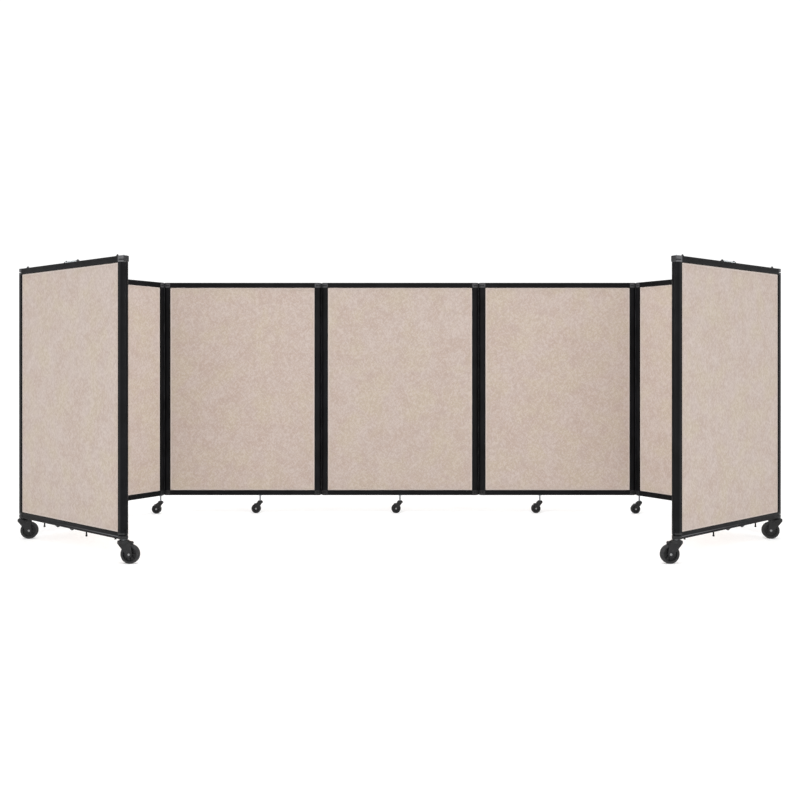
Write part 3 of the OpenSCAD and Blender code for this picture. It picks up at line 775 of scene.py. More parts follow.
@dataclass
class FeltBoard:
    """A pressed board between two sheets of felt, which are drawn round its edges into the frame."""

    place: PanelPlace
    post_width: float = 32.5
    post_nose: float = 17.0
    rail_height: float = 26.0
    clearance: float = 0.3
    thickness: float = 26.0
    edge_thickness: float = 20.0
    edge_step: float = 0.1
    tuck: float = 5.7
    felt_thickness: float = 2.0
    roll: float = 3.0
    rim_width: float = 9.0
    step: float = 24.0
    waviness: float = 0.25
    wave_length: float = 190.0
    # Each sheet takes its waves from another part of the noise, so no two sheets are alike
    face_apart: float = 40.0
    board_apart: float = 997.0

    @property
    def half_width(self) -> float:
        """Half the felt's width between the uprights."""
        return self.place.half_span - (self.post_width - self.post_nose) - self.clearance

    @property
    def half_height(self) -> float:
        """Half the felt's height between the rails."""
        return (self.place.high - self.place.low) / 2 / MM - self.rail_height - self.clearance

    def build(self) -> None:
        """Make the board and both sheets."""
        number = self.place.number
        middle = self.place.middle((self.place.low + self.place.high) / 2)
        board = Form()
        half_edge, thinner = self.edge_thickness / 2, self.edge_thickness / 2 - self.edge_step
        w, h = self.half_width + self.tuck, self.half_height + self.tuck
        board.block((-w, -half_edge, -self.half_height), (w, half_edge, self.half_height))
        board.block((-self.half_width, -thinner, -h), (self.half_width, thinner, h))
        core = board.piece(f"board_core_{number}", middle, Finishes.FIBREBOARD, self.place.body,
                           "fabric_board", f"board_{number}")
        for side, word in ((-1, "front"), (1, "back")):
            sheet = self.sheet(f"felt_{word}_{number}", side, middle)

    def stops(self, half: float) -> list[float]:
        """Return the lines of the felt's grid across one direction, close together near its edges.

        Args:
            half: half the felt's width or height.

        Returns:
            Their places, from one edge to the other.
        """
        near = [0.0, 0.15, 0.5, 1.0, 1.8, self.roll, self.rim_width, 2 * self.rim_width]
        count = max(2, round(2 * (half - near[-1]) / self.step))
        inner = [-half + near[-1] + 2 * (half - near[-1]) * i / count for i in range(1, count)]
        return [-half + d for d in near] + inner + [half - d for d in reversed(near)]

    def drop(self, distance: float) -> float:
        """Return how far the felt has rolled back at a distance from its edge."""
        if distance >= self.roll:
            return 0.0
        return self.roll * (1 - math.sqrt(1 - (1 - distance / self.roll) ** 2))

    def face(self, x: float, z: float, side: int) -> float:
        """Return where the felt's face lies across the board's thickness.

        Args:
            x: the place along the board.
            z: the place up it.
            side: -1 for the front, 1 for the back.

        Returns:
            Its y, rolled back at the edges and slightly wavy inside them.
        """
        edge_x, edge_z = self.half_width - abs(x), self.half_height - abs(z)
        back = min(self.roll, self.drop(edge_x) + self.drop(edge_z))
        calm = min(1.0, min(edge_x, edge_z) / self.step)
        spot = Vector((x, side * self.face_apart, z + self.board_apart * self.place.number)) / self.wave_length
        wave = self.waviness * calm * (noise.noise(spot) - 0.5)
        return side * (self.thickness / 2 - back + min(0.0, wave))

    def sheet(self, name: str, side: int, middle: Matrix) -> bpy.types.Object:
        """Make one sheet of felt.

        Args:
            name: its name.
            side: -1 for the front, 1 for the back.
            middle: the frame at the board's middle.

        Returns:
            The felt, which carries its own place on the cloth and the share of painted highlight near the rim.
        """
        form = Form()
        xs, zs = self.stops(self.half_width), self.stops(self.half_height)
        made = [[form.mesh.verts.new((x, self.face(x, z, side), z)) for x in xs] for z in zs]
        for low, high in zip(made, made[1:]):
            for i in range(len(xs) - 1):
                form.mesh.faces.new((low[i], low[i + 1], high[i + 1], high[i]))
        places = [(v.co.x * MM, side * self.place.number, v.co.z * MM) for v in form.mesh.verts]
        rim_highlights = [self.rim(v.co) for v in form.mesh.verts]
        piece = form.piece(name, middle, Finishes.FELT, self.place.body, "fabric_board",
                           f"board_{self.place.number}")
        if piece.data.polygons[0].normal.dot(middle.to_3x3() @ Vector((0, side, 0))) < 0:
            piece.data.flip_normals()
        cloth = piece.data.attributes.new("cloth_place", "FLOAT_VECTOR", "POINT")
        cloth.data.foreach_set("vector", [c for p in places for c in p])
        rim = piece.data.attributes.new("cloth_rim_highlight", "FLOAT", "POINT")
        rim.data.foreach_set("value", rim_highlights)
        weight = piece.modifiers.new("felt_thickness", "SOLIDIFY")
        weight.thickness = self.felt_thickness * MM
        weight.offset = -1
        return piece

    def rim(self, spot: Vector) -> float:
        """Return how much painted highlight the felt gets at a spot: 1 at the frame, 0 past the rim."""
        edge = min(self.half_width - abs(spot.x), self.half_height - abs(spot.z))
        return max(0.0, 1 - edge / self.rim_width)


# ---- Corner brackets and hinges ----------------------------------------------------------------


class StemKind(Enum):
    """What stands in a bracket's outer end."""

    PIN = "hinge pin"
    SMALL = "small caster's stem"
    BIG = "big caster's stem"


@dataclass
class KnuckleBracket:
    """The moulded corner of a frame: half a knuckle, slotted for the hinge's link plate."""

    place: PanelPlace
    side: int
    top: bool
    stem: StemKind
    nose: float = 17.0
    depth: float = 15.5
    height: float = 26.0
    chamfer: float = 1.5
    slot_low: float = 14.0
    slot_high: float = 18.0
    slot_depth: float = 11.0
    seat_radius: float = 6.55
    seat_depth: float = 2.8

    def outline(self, inset: float = 0.0, limit: float | None = None) -> Outline:
        """Return the bracket's plan.

        Args:
            inset: how far its sides are drawn in.
            limit: the largest x it may reach, where the slot cuts it.

        Returns:
            The same number of points for every inset and limit.
        """
        r = self.nose - inset
        round_steps, sides, back = 26, 4, 10
        points = arc(r, -90, 90, round_steps)
        points += [(-self.depth * i / sides, r) for i in range(1, sides + 1)]
        points += [(-self.depth, r - 2 * r * i / back) for i in range(1, back + 1)]
        points += [(-self.depth * (sides - i) / sides, -r) for i in range(1, sides)]
        return points if limit is None else [(min(x, limit), y) for x, y in points]

    def ring(self, radius: float) -> Outline:
        """Return a circle whose points lie towards those of the outline."""
        turns = [math.atan2(y, x) for x, y in self.outline()]
        return [(radius * math.cos(t), radius * math.sin(t)) for t in turns]

    def build(self) -> None:
        """Make the bracket."""
        levels = [(0.0, self.outline(self.chamfer)), (self.chamfer, self.outline())]
        if self.stem is StemKind.PIN:
            levels = [(self.seat_depth, self.ring(self.seat_radius)), (0.0, self.ring(self.seat_radius))] + levels
        cut = self.outline(limit=-self.slot_depth)
        levels += [(self.slot_low, self.outline()), (self.slot_low, cut), (self.slot_high, cut),
                   (self.slot_high, self.outline()), (self.height, self.outline())]
        form = Form()
        form.loft([[Vector((x, y, z)) for x, y in ring] for z, ring in levels])
        number = self.place.number
        corner = f"{'top' if self.top else 'foot'}_{'right' if self.side > 0 else 'left'}"
        free = self.place.is_end and self.side == self.place.free_side
        # One nylon in three tones: painted light on the free ends' top brackets, painted shade on the hinges' top
        # brackets and on all foot brackets
        finish = (Finishes.CAP_PAINTED_LIGHT if free else Finishes.KNUCKLE_PAINTED_SHADE) if self.top else Finishes.SHOE_PAINTED_SHADE
        form.piece(f"bracket_{number}_{corner}", self.place.bracket(self.side, self.top), finish,
                   self.place.body, "bracket", f"corners_{number}", bevel=0.5)


@dataclass
class FreeEndTrim:
    """Rubber bumper, domed pin and two screws on the nose of a free end."""

    place: PanelPlace
    nose: float = 17.0
    bumper_thickness: float = 5.0
    bumper_ends: Point = (1.5, 24.5)
    bumper_half_angle: float = 32.0
    dome_radius: float = 5.0
    dome_height: float = 4.0
    # The dome's outline in shares of its radius and its height, from the tip to the rim
    dome: tuple[Point, ...] = ((0.0, 1.0), (0.35, 0.97), (0.62, 0.86), (0.85, 0.62), (1.0, 0.3))
    dome_foot: float = 0.6
    flange: Point = (0.9, 2.8)
    flange_reach: float = 1.4
    screw_radius: float = 4.2
    screw_head: float = 4.8
    screw_sunk: float = 0.6
    screw_chamfer: float = 0.4
    screw_heights: Point = (21.0, 35.0)

    def build(self) -> None:
        """Make the bumper, the pin's dome and the screws."""
        self.bumper()
        self.pin()
        self.screws()

    def bumper(self) -> None:
        """Wrap the rubber bumper round the top bracket's nose."""
        angle, steps = self.bumper_half_angle, 16
        outer, inner = self.nose + self.bumper_thickness, self.nose + SEAM
        form = Form()
        form.prism(arc(outer, -angle, angle, steps) + arc(inner, angle, -angle, steps), *self.bumper_ends)
        form.piece(f"bumper_{self.place.number}", self.place.bracket(self.place.free_side, True), Finishes.RUBBER,
                   self.place.body, "bracket", f"corners_{self.place.number}", bevel=1.2)

    def pin(self) -> None:
        """Set the domed pin into the top bracket, with its flange in the bracket's seat."""
        r, low, high = self.dome_radius, self.flange[0], self.flange[1]
        profile = [(r * across, -self.dome_height * up) for across, up in self.dome]
        profile += [(r, self.dome_foot), (r + self.flange_reach, low), (r + self.flange_reach, high), (0, high)]
        form = Form()
        form.lathe(profile)
        form.piece(f"end_pin_{self.place.number}", self.place.bracket(self.place.free_side, True), Finishes.ZINC,
                   self.place.body, "bracket", f"corners_{self.place.number}")

    def screws(self) -> None:
        """Drive both socket screws into the nose of the foot bracket."""
        r, h, socket = self.screw_radius, self.screw_head, self.screw_radius * 0.5
        profile = [(0, h * 0.5), (socket, h * 0.5), (socket, h), (r - self.screw_chamfer, h),
                   (r, h - self.screw_chamfer), (r, -self.screw_sunk), (0, -self.screw_sunk)]
        form = Form()
        for height in self.screw_heights:
            spot = Matrix.Translation((self.nose, 0, height)) @ Matrix.Rotation(math.radians(90), 4, "Y")
            form.lathe(profile, spot, 32)
        form.piece(f"end_screws_{self.place.number}", self.place.bracket(self.place.free_side, False),
                   Finishes.OXIDE, self.place.body, "rail_fitting", f"rail_fittings_{self.place.number}")


@dataclass
class LinkHinge:
    """Two link plates, at head and foot, each with two pins, and the strip that closes the gap between them."""

    left: PanelPlace
    right: PanelPlace
    nose: float = 17.0
    strip_gap: float = 0.4
    strip_width: float = 5.0
    strip_inset: float = 1.5
    link_radius: float = 9.5
    waist: float = 13.0
    plate_low: float = 14.3
    plate_high: float = 17.7
    pin_radius: float = 4.0
    head_radius: float = 6.5
    pin_end: float = 23.0
    stem_end: float = 10.5
    # Half of a plate's or a strip's outline, and of the slot's, has this many steps
    steps: int = 36

    @property
    def name(self) -> str:
        """The numbers of the two panels that it joins."""
        return f"{self.left.number}{self.right.number}"

    @property
    def gap(self) -> float:
        """The distance between the two pivots."""
        return (self.right.left - self.left.right).to_2d().length / MM

    def frame_at(self, height: float) -> Matrix:
        """Return the hinge's frame.

        Args:
            height: how high it is, in metres.

        Returns:
            A frame with the left pivot at its origin and +X towards the right one.
        """
        spot, way = self.left.right, self.right.left - self.left.right
        turn = Matrix.Rotation(math.atan2(way.y, way.x), 4, "Z")
        return Matrix.Translation((spot.x, spot.y, height)) @ turn

    def build(self) -> None:
        """Make both plates, all four pins and the strip."""
        self.link(False)
        self.link(True)
        form = Form()
        tall = (self.left.high - self.left.low) / MM
        form.prism(self.strip(), self.strip_inset, tall - self.strip_inset)
        form.piece(f"gap_strip_{self.name}", self.frame_at(self.left.low), Finishes.COAT, f"link_{self.name}",
                   "hinge_link", f"hinge_{self.name}", bevel=0.3)

    def link(self, top: bool) -> None:
        """Make one plate with its two pins.

        Args:
            top: whether it is the plate at the head, which is turned upside down.
        """
        outer, slot = self.plate(), self.strip(SEAM)
        levels = ((outer, self.plate_low), (outer, self.plate_high), (slot, self.plate_high), (slot, self.plate_low))
        form = Form()
        form.loft([[Vector((x, y, z)) for x, y in ring] for ring, z in levels], closed=True)
        for x in (0, self.gap):
            form.lathe(self.pin(self.kind(x > 0, top)), Matrix.Translation((x, 0, 0)), 40)
        place = self.frame_at(self.left.high if top else self.left.low)
        if top:
            place = place @ Matrix.Rotation(math.pi, 4, "X")
        form.piece(f"hinge_{self.name}_{'top' if top else 'foot'}", place, Finishes.OXIDE, f"link_{self.name}",
                   "hinge_link", f"hinge_{self.name}", bevel=0.35)

    def kind(self, on_right: bool, top: bool) -> StemKind:
        """Return what stands in the bracket at one end of the link."""
        return StemKind.PIN if top else stem_kind(self.right if on_right else self.left, -1 if on_right else 1)

    def plate(self) -> Outline:
        """Return the plate's outline: two round ends and a straight waist."""
        side = math.degrees(math.asin(self.waist / 2 / self.link_radius))
        return (arc(self.link_radius, side, 360 - side, self.steps)
                + arc(self.link_radius, side - 180, 180 - side, self.steps, (self.gap, 0)))

    def strip(self, grow: float = 0.0) -> Outline:
        """Return the strip's outline, hollow towards both noses.

        Args:
            grow: how far every side is moved out, for the slot that the strip passes.

        Returns:
            As many points as the plate's outline has, in the same order.
        """
        hollow = self.nose + self.strip_gap - grow
        side = math.degrees(math.asin((self.strip_width / 2 + grow) / hollow))
        return (arc(hollow, side, -side, self.steps)
                + arc(hollow, 180 + side, 180 - side, self.steps, (self.gap, 0)))

    def pin(self, stem: StemKind) -> Outline:
        """Return the profile of the pin in a bracket.

        Args:
            stem: what stands in the bracket: a caster's stem takes the place of the pin's seated head.

        Returns:
            Radius and height of its points.
        """
        r, head, seat = self.pin_radius, self.head_radius, 2.0
        if stem is not StemKind.PIN:
            return [(0, self.stem_end), (r, self.stem_end), (r, self.pin_end), (0, self.pin_end)]
        return [(0, 0.7), (head * 0.35, 0.7), (head * 0.45, 0.3), (head - 1.2, 0.3), (head - 0.3, 0.7), (head, 1.4),
                (head, seat), (r, seat), (r, self.pin_end), (0, self.pin_end)]


def stem_kind(place: PanelPlace, side: int) -> StemKind:
    """Tell what stands in the foot bracket at one side of a panel.

    Args:
        place: the panel's place.
        side: its end: -1 left, 1 right.

    Returns:
        A big caster's stem on the end panels, a small one's where panels 2 and 6 meet the middle, else a pin.
    """
    if place.is_end:
        return StemKind.BIG
    carries_small = (place.number == 2 and side > 0) or (place.number == PANEL_COUNT - 1 and side < 0)
    return StemKind.SMALL if carries_small else StemKind.PIN


# ---- Casters -----------------------------------------------------------------------------------


@dataclass
class Caster:
    """What the two kinds of caster share: wheel, axle bolt, fork plates and swivel head."""

    place: CasterPlace
    frame_low: float
    wheel_radius: float
    wheel_width: float
    tyre: float
    stem_radius: float
    head_gap: float
    head_radius: float
    neck_radius: float
    head_drop: float
    side_gap: float = 1.5
    plate: float = 2.5
    axle_radius: float = 4.0
    boss_wall: float = 4.0
    # Half the hub's web in shares of the wheel's width
    web_share: float = 0.16
    spokes: int = 8
    half_spoke: float = 0.8
    bolt_reach: float = 1.2
    bolt_dome: float = 2.2
    eye_border: float = 1.2

    @property
    def head_top(self) -> float:
        """The swivel head's top, above the floor."""
        return self.frame_low - self.head_gap

    @property
    def half_width(self) -> float:
        """Half the width over the fork plates."""
        return self.wheel_width / 2 + self.side_gap + self.plate

    @property
    def web(self) -> float:
        """Half the thickness of the hub's web."""
        return self.wheel_width * self.web_share

    @property
    def at_axle(self) -> Matrix:
        """The axle's frame in that of the caster."""
        return along_y(self.place.trail, 0, self.wheel_radius)

    def head_profile(self) -> Outline:
        """Draw the swivel head: a bell with a rounded shoulder and an open underside.

        Returns:
            Radius and height of its points.
        """
        top, r, neck, bore = self.head_top, self.head_radius, self.neck_radius, self.stem_radius + 0.05
        foot = top - self.head_drop
        skirt, roof = foot + self.head_drop * 0.35, top - self.head_drop * 0.4
        shoulder = [(neck + (r - neck) * math.sin(math.radians(a)),
                     skirt + (top - 0.8 - skirt) * math.cos(math.radians(a))) for a in range(15, 90, 15)]
        return ([(bore, top), (neck, top), (neck + 1.0, top - 0.4)] + shoulder
                + [(r, skirt), (r, foot + 0.8), (r - 0.6, foot), (r - 2.0, foot), (r - 2.2, skirt - 1.0),
                   (neck, roof), (bore, roof)])

    def tyre_profile(self) -> Outline:
        """Draw the tyre: flat tread with a parting line, round shoulders and a moulded ring on each wall.

        Returns:
            Radius and height of its points, from one side of the hub to the other.
        """
        r, w, hub = self.wheel_radius, self.wheel_width / 2, self.wheel_radius - self.tyre
        shoulder = min(w, self.tyre) * 0.42
        wall = [(hub + 0.4, w - 0.3), (hub + self.tyre * 0.25, w - 0.3), (hub + self.tyre * 0.3, w),
                (hub + self.tyre * 0.45, w)]
        half = wall + arc(shoulder, 90, 0, 6, (r - shoulder, w - shoulder)) + [(r, 1.2), (r - 0.35, 0.35)]
        return [(hub + SEAM, w - 0.8)] + half + [(x, -z) for x, z in reversed(half)] + [(hub + SEAM, 0.8 - w)]

    def hub_profile(self) -> Outline:
        """Draw the hub: a dished disc between the boss and the rim.

        Returns:
            Radius and height of its points, from one side to the other.
        """
        rim, boss, web = self.wheel_radius - self.tyre, self.axle_radius + self.boss_wall, self.web
        w, out = self.wheel_width / 2 - 0.6, self.wheel_width / 2 + self.side_gap - 0.3
        half = [(rim, w), (rim - 1.6, w), (rim - 2.6, web + 0.8), (rim - 3.6, web), (boss + 1.4, web),
                (boss, web + 1.4), (boss, out - 0.5), (boss - 0.5, out), (self.axle_radius + 0.05, out)]
        return half + [(x, -z) for x, z in reversed(half)]

    def wheel(self) -> None:
        """Make the ribbed hub and its tyre."""
        name, frame_at, turn = self.place.name, self.place.frame, self.at_axle
        tyre = Form()
        tyre.lathe(self.tyre_profile(), turn, 72, closed=True)
        tyre.piece(f"tyre_{name}", frame_at, Finishes.RUBBER, f"wheel_{name}", "caster_wheel", f"wheel_{name}")
        hub = Form()
        hub.lathe(self.hub_profile(), turn, 60, closed=True)
        # The ribs are sunk a little into the boss and the web
        boss, rim = self.axle_radius + self.boss_wall - 0.4, self.wheel_radius - self.tyre - 2
        half = self.half_spoke
        outline = [(boss, -half), (rim, -half), (rim, half), (boss, half)]
        for i in range(self.spokes):
            spoke = turn @ Matrix.Rotation(2 * math.pi * i / self.spokes, 4, "Z")
            for side in (1, -1):
                hub.prism(outline, side * (self.web - 0.5), side * (self.wheel_width / 2 - 1.6), spoke)
        hub.piece(f"hub_{name}", frame_at, Finishes.CASTER, f"wheel_{name}", "caster_wheel", f"wheel_{name}")

    def axle(self) -> None:
        """Make the axle bolt: a domed head on one side and a hexagonal nut on the other."""
        r, head, dome, out = self.axle_radius, self.axle_radius + self.bolt_reach, self.bolt_dome, self.half_width
        bolt = Form()
        bolt.lathe([(0, -out - dome), (head * 0.3, -out - dome), (head * 0.7, -out - dome * 0.8),
                    (head, -out - dome * 0.25), (head, -out - SEAM), (r, -out - SEAM), (r, out + 1.6),
                    (r - 0.6, out + 2.2), (0, out + 2.2)], self.at_axle, 40)
        bolt.prism(circle(head, 6), out + SEAM, out + 2.0, self.at_axle)
        bolt.piece(f"axle_{self.place.name}", self.place.frame, Finishes.BOLT, f"caster_{self.place.name}",
                   "caster_fork", f"fork_{self.place.name}", bevel=0.3)

    def plates(self, form: Form, circles: Sequence[Circle]) -> None:
        """Add both fork plates.

        Args:
            form: the fork in the making.
            circles: x, z and radius of the circles that a plate wraps; the last one is the axle's eye.
        """
        outline, flat = hull(circles), along_y(0, 0, 0)
        x, z, eye = circles[-1]
        for side in (1, -1):
            inner, outer = side * (self.half_width - self.plate), side * self.half_width
            form.prism(outline, -inner, -outer + side * 0.5, flat)
            # A raised border follows the eye, where the moulding is thickest
            form.prism(circle(eye - self.eye_border, 40, (x, z)), -inner - side * 0.6, -outer, flat)


@dataclass
class EndCaster(Caster):
    """A big caster under an end panel, with a brake pedal over its wheel."""

    wheel_radius: float = 38.0
    wheel_width: float = 22.0
    tyre: float = 9.0
    stem_radius: float = 5.5
    head_gap: float = 3.0
    head_radius: float = 24.0
    neck_radius: float = 17.0
    head_drop: float = 14.0
    eye_radius: float = 12.0
    pedal_reach: float = 6.0
    pedal_boss: float = 4.2
    pedal_tip: float = 2.6
    pedal_drop: float = 3.0
    pedal_pin: float = 1.8
    # Places across the pedal, in shares of its half width, close together where its corners are round
    pedal_stations: tuple[float, ...] = (-1.0, -0.94, -0.8, -0.5, 0.0, 0.5, 0.8, 0.94, 1.0)
    tread_ribs: tuple[float, ...] = (0.3, 0.55, 0.8)
    rib_radius: float = 0.8
    washer_reach: float = 5.0
    nut_drop: float = 6.0
    nut_radius: float = 10.0

    @property
    def pedal_pivot(self) -> Point:
        """The pedal's pivot, from the stem and above the floor."""
        spot = joint_between(f"caster_{self.place.name}", f"pedal_{self.place.name}")
        return (spot - self.place.stem).to_2d().length / MM, spot.z / MM

    def build(self) -> None:
        """Make the whole caster."""
        self.wheel()
        self.axle()
        self.fork()
        self.pedal()
        self.stem()

    def fork(self) -> None:
        """Make the fork: swivel head, bridge and two plates that carry the axle and the pedal's pin."""
        name, (pivot_x, pivot_z) = self.place.name, self.pedal_pivot
        back = 5 - self.head_radius
        form = Form()
        form.lathe(self.head_profile(), closed=True)
        # The plates wrap the lower and upper back corner, the pedal's pin and the axle
        self.plates(form, [(back, pivot_z - 1, 2.5), (back + 0.5, self.head_top - 3, 2.5),
                           (pivot_x - 2.5, pivot_z - 2.5, 5.5),
                           (self.place.trail, self.wheel_radius, self.eye_radius)])
        foot = self.head_top - self.head_drop + 0.5
        inner, out, pin = self.half_width - 0.02, self.half_width, self.pedal_pin
        form.block((back - 1, -inner, foot), (self.head_radius - 9, inner, foot + self.plate))
        form.lathe([(0, -out), (pin, -out), (pin, out), (0, out)], along_y(pivot_x, 0, pivot_z), 24)
        form.piece(f"fork_{name}", self.place.frame, Finishes.CASTER, f"caster_{name}", "caster_fork",
                   f"fork_{name}", bevel=0.5)

    def pedal_outline(self, reach: float) -> Outline:
        """Return the pedal's side view: a boss round the pin and a lower, smaller tip.

        Args:
            reach: how far the tip stands from the pin.

        Returns:
            The same number of points for every reach, from the top of the boss.
        """
        tip = (reach - self.pedal_tip, -self.pedal_drop * reach / self.pedal_reach)
        lean = math.degrees(math.atan2(tip[1], tip[0]))
        side = math.degrees(math.acos((self.pedal_boss - self.pedal_tip) / math.hypot(*tip)))
        return (arc(self.pedal_boss, lean + side, lean - side + 360, 26)
                + arc(self.pedal_tip, lean - side, lean + side, 14, tip))

    def pedal(self) -> None:
        """Make the brake pedal, rounded in plan and ribbed across its tread."""
        name = self.place.name
        x, z = self.pedal_pivot
        half = self.half_width - self.plate - 0.5
        shortest = self.pedal_boss + 1
        turn = along_y(x, 0, z)
        form = Form()
        rings = []
        for share in self.pedal_stations:
            reach = shortest + (self.pedal_reach - self.pedal_boss - 1) * math.sqrt(1 - share * share)
            rings.append([turn @ Vector((a, b, share * half)) for a, b in self.pedal_outline(reach)])
        form.loft(rings)
        outline = self.pedal_outline(self.pedal_reach)
        start, end = Vector(outline[0]), Vector(outline[-1])
        for share in self.tread_ribs:
            at = start.lerp(end, share)
            form.prism(circle(self.rib_radius, 12, (at.x, at.y - 0.3)), -half * 0.6, half * 0.6, turn)
        form.piece(f"pedal_{name}", self.place.frame, Finishes.CASTER, f"pedal_{name}", "caster_fork",
                   f"pedal_{name}", bevel=0.4)

    def stem(self) -> None:
        """Make the stem with the washer that shows between the bracket and the swivel head."""
        low, high, r = self.head_top, self.frame_low, self.stem_radius
        washer, nut, roof = r + self.washer_reach, self.nut_radius, low - self.nut_drop
        form = Form()
        form.lathe([(0, roof - 3), (nut - 1, roof - 3), (nut, roof - 2.4), (nut, roof - 0.05), (r, roof - 0.05),
                    (r, low + 0.05), (washer - 0.6, low + 0.05), (washer, low + 0.6), (washer, high - 0.6),
                    (washer - 0.6, high), (r, high), (r, high + 10), (0, high + 10)])
        form.piece(f"stem_{self.place.name}", self.place.frame, Finishes.ZINC, f"panel_{self.place.panel}",
                   "steel_stem", f"stems_{self.place.panel}")


@dataclass
class MiddleCaster(Caster):
    """A small caster on a long threaded stem, with a hood over its wheel."""

    wheel_radius: float = 24.5
    wheel_width: float = 18.0
    tyre: float = 6.3
    stem_radius: float = 4.5
    head_gap: float = 29.0
    head_radius: float = 14.5
    neck_radius: float = 8.0
    head_drop: float = 13.0
    axle_radius: float = 3.2
    eye_radius: float = 8.0
    hood_gap: float = 1.5
    hood_thickness: float = 1.1
    hood_arc: Point = (62.0, 140.0)
    collar: float = 3.0
    pitch: float = 1.25
    nut_width: float = 24.0
    nut_foot: float = 2.03
    nut_height: float = 5.0
    nut_low_drop: float = 4.5

    def build(self) -> None:
        """Make the whole caster."""
        self.wheel()
        self.axle()
        self.fork()
        self.stem()

    def fork(self) -> None:
        """Make the fork: swivel head, bridge, plates and the hood over the wheel."""
        name = self.place.name
        shoulder = self.head_top - self.head_drop + 2.5
        inner = self.half_width - 0.02
        form = Form()
        form.lathe(self.head_profile(), closed=True)
        # The plates wrap the back and front of the head and the axle
        self.plates(form, [(-9, shoulder, 2.5), (13, shoulder, 3),
                           (self.place.trail, self.wheel_radius, self.eye_radius)])
        form.block((-10, -inner, shoulder - 3), (14, inner, shoulder - 1))
        low, (front, rear) = self.wheel_radius + self.hood_gap, self.hood_arc
        band = arc(low + self.hood_thickness, front, rear, 20) + arc(low, rear, front, 20)
        form.prism(band, -inner, inner, self.at_axle)
        form.piece(f"fork_{name}", self.place.frame, Finishes.CASTER, f"caster_{name}", "caster_fork",
                   f"fork_{name}", bevel=0.45)

    def stem(self) -> None:
        """Make the threaded stem with its collar under the rail and, on panels 3 to 5, the nut in it."""
        r, low, base, roof = self.stem_radius, self.head_top, self.frame_low, self.head_top - self.nut_low_drop
        in_rail = 2 < self.place.panel < PANEL_COUNT - 1
        collar, top = base - self.collar, base + (12 if in_rail else 10)
        form = Form()
        form.lathe([(0, roof - 2.5), (7.4, roof - 2.5), (8, roof - 2), (8, roof - 0.05), (r, roof - 0.05), (r, low + 2),
                    (r - 0.4, low + 2.4), (0, low + 2.4)])
        form.thread(r, low + 2.2, collar + 0.2, self.pitch)
        form.lathe([(0, collar), (r + 2.6, collar), (r + 3, collar + 0.4), (r + 3, base - 0.3), (r + 2.7, base),
                    (r, base), (r, top), (0, top)])
        if in_rail:
            half, bore, foot = self.nut_width / 2, r + SEAM, base + self.nut_foot
            head = foot + self.nut_height
            levels = ((foot, bore), (foot, half), (head, half), (head, bore))
            form.loft([[Vector((x, y, z)) for x, y in self.nut_ring(reach)] for z, reach in levels], closed=True)
        form.piece(f"stem_{self.place.name}", self.place.frame, Finishes.ZINC, f"panel_{self.place.panel}",
                   "steel_stem", f"stems_{self.place.panel}")

    def nut_ring(self, reach: float) -> Outline:
        """Draw the square nut's outer side or its bore.

        Args:
            reach: half the nut's width, or the radius of its bore.

        Returns:
            A square for the nut's own width and a circle for less, with as many points.
        """
        points = circle(reach, 24)
        if reach < self.nut_width / 2:
            return points
        return [(x / max(abs(x), abs(y)) * reach, y / max(abs(x), abs(y)) * reach) for x, y in points]


# ---- Fittings of the end panels ----------------------------------------------------------------


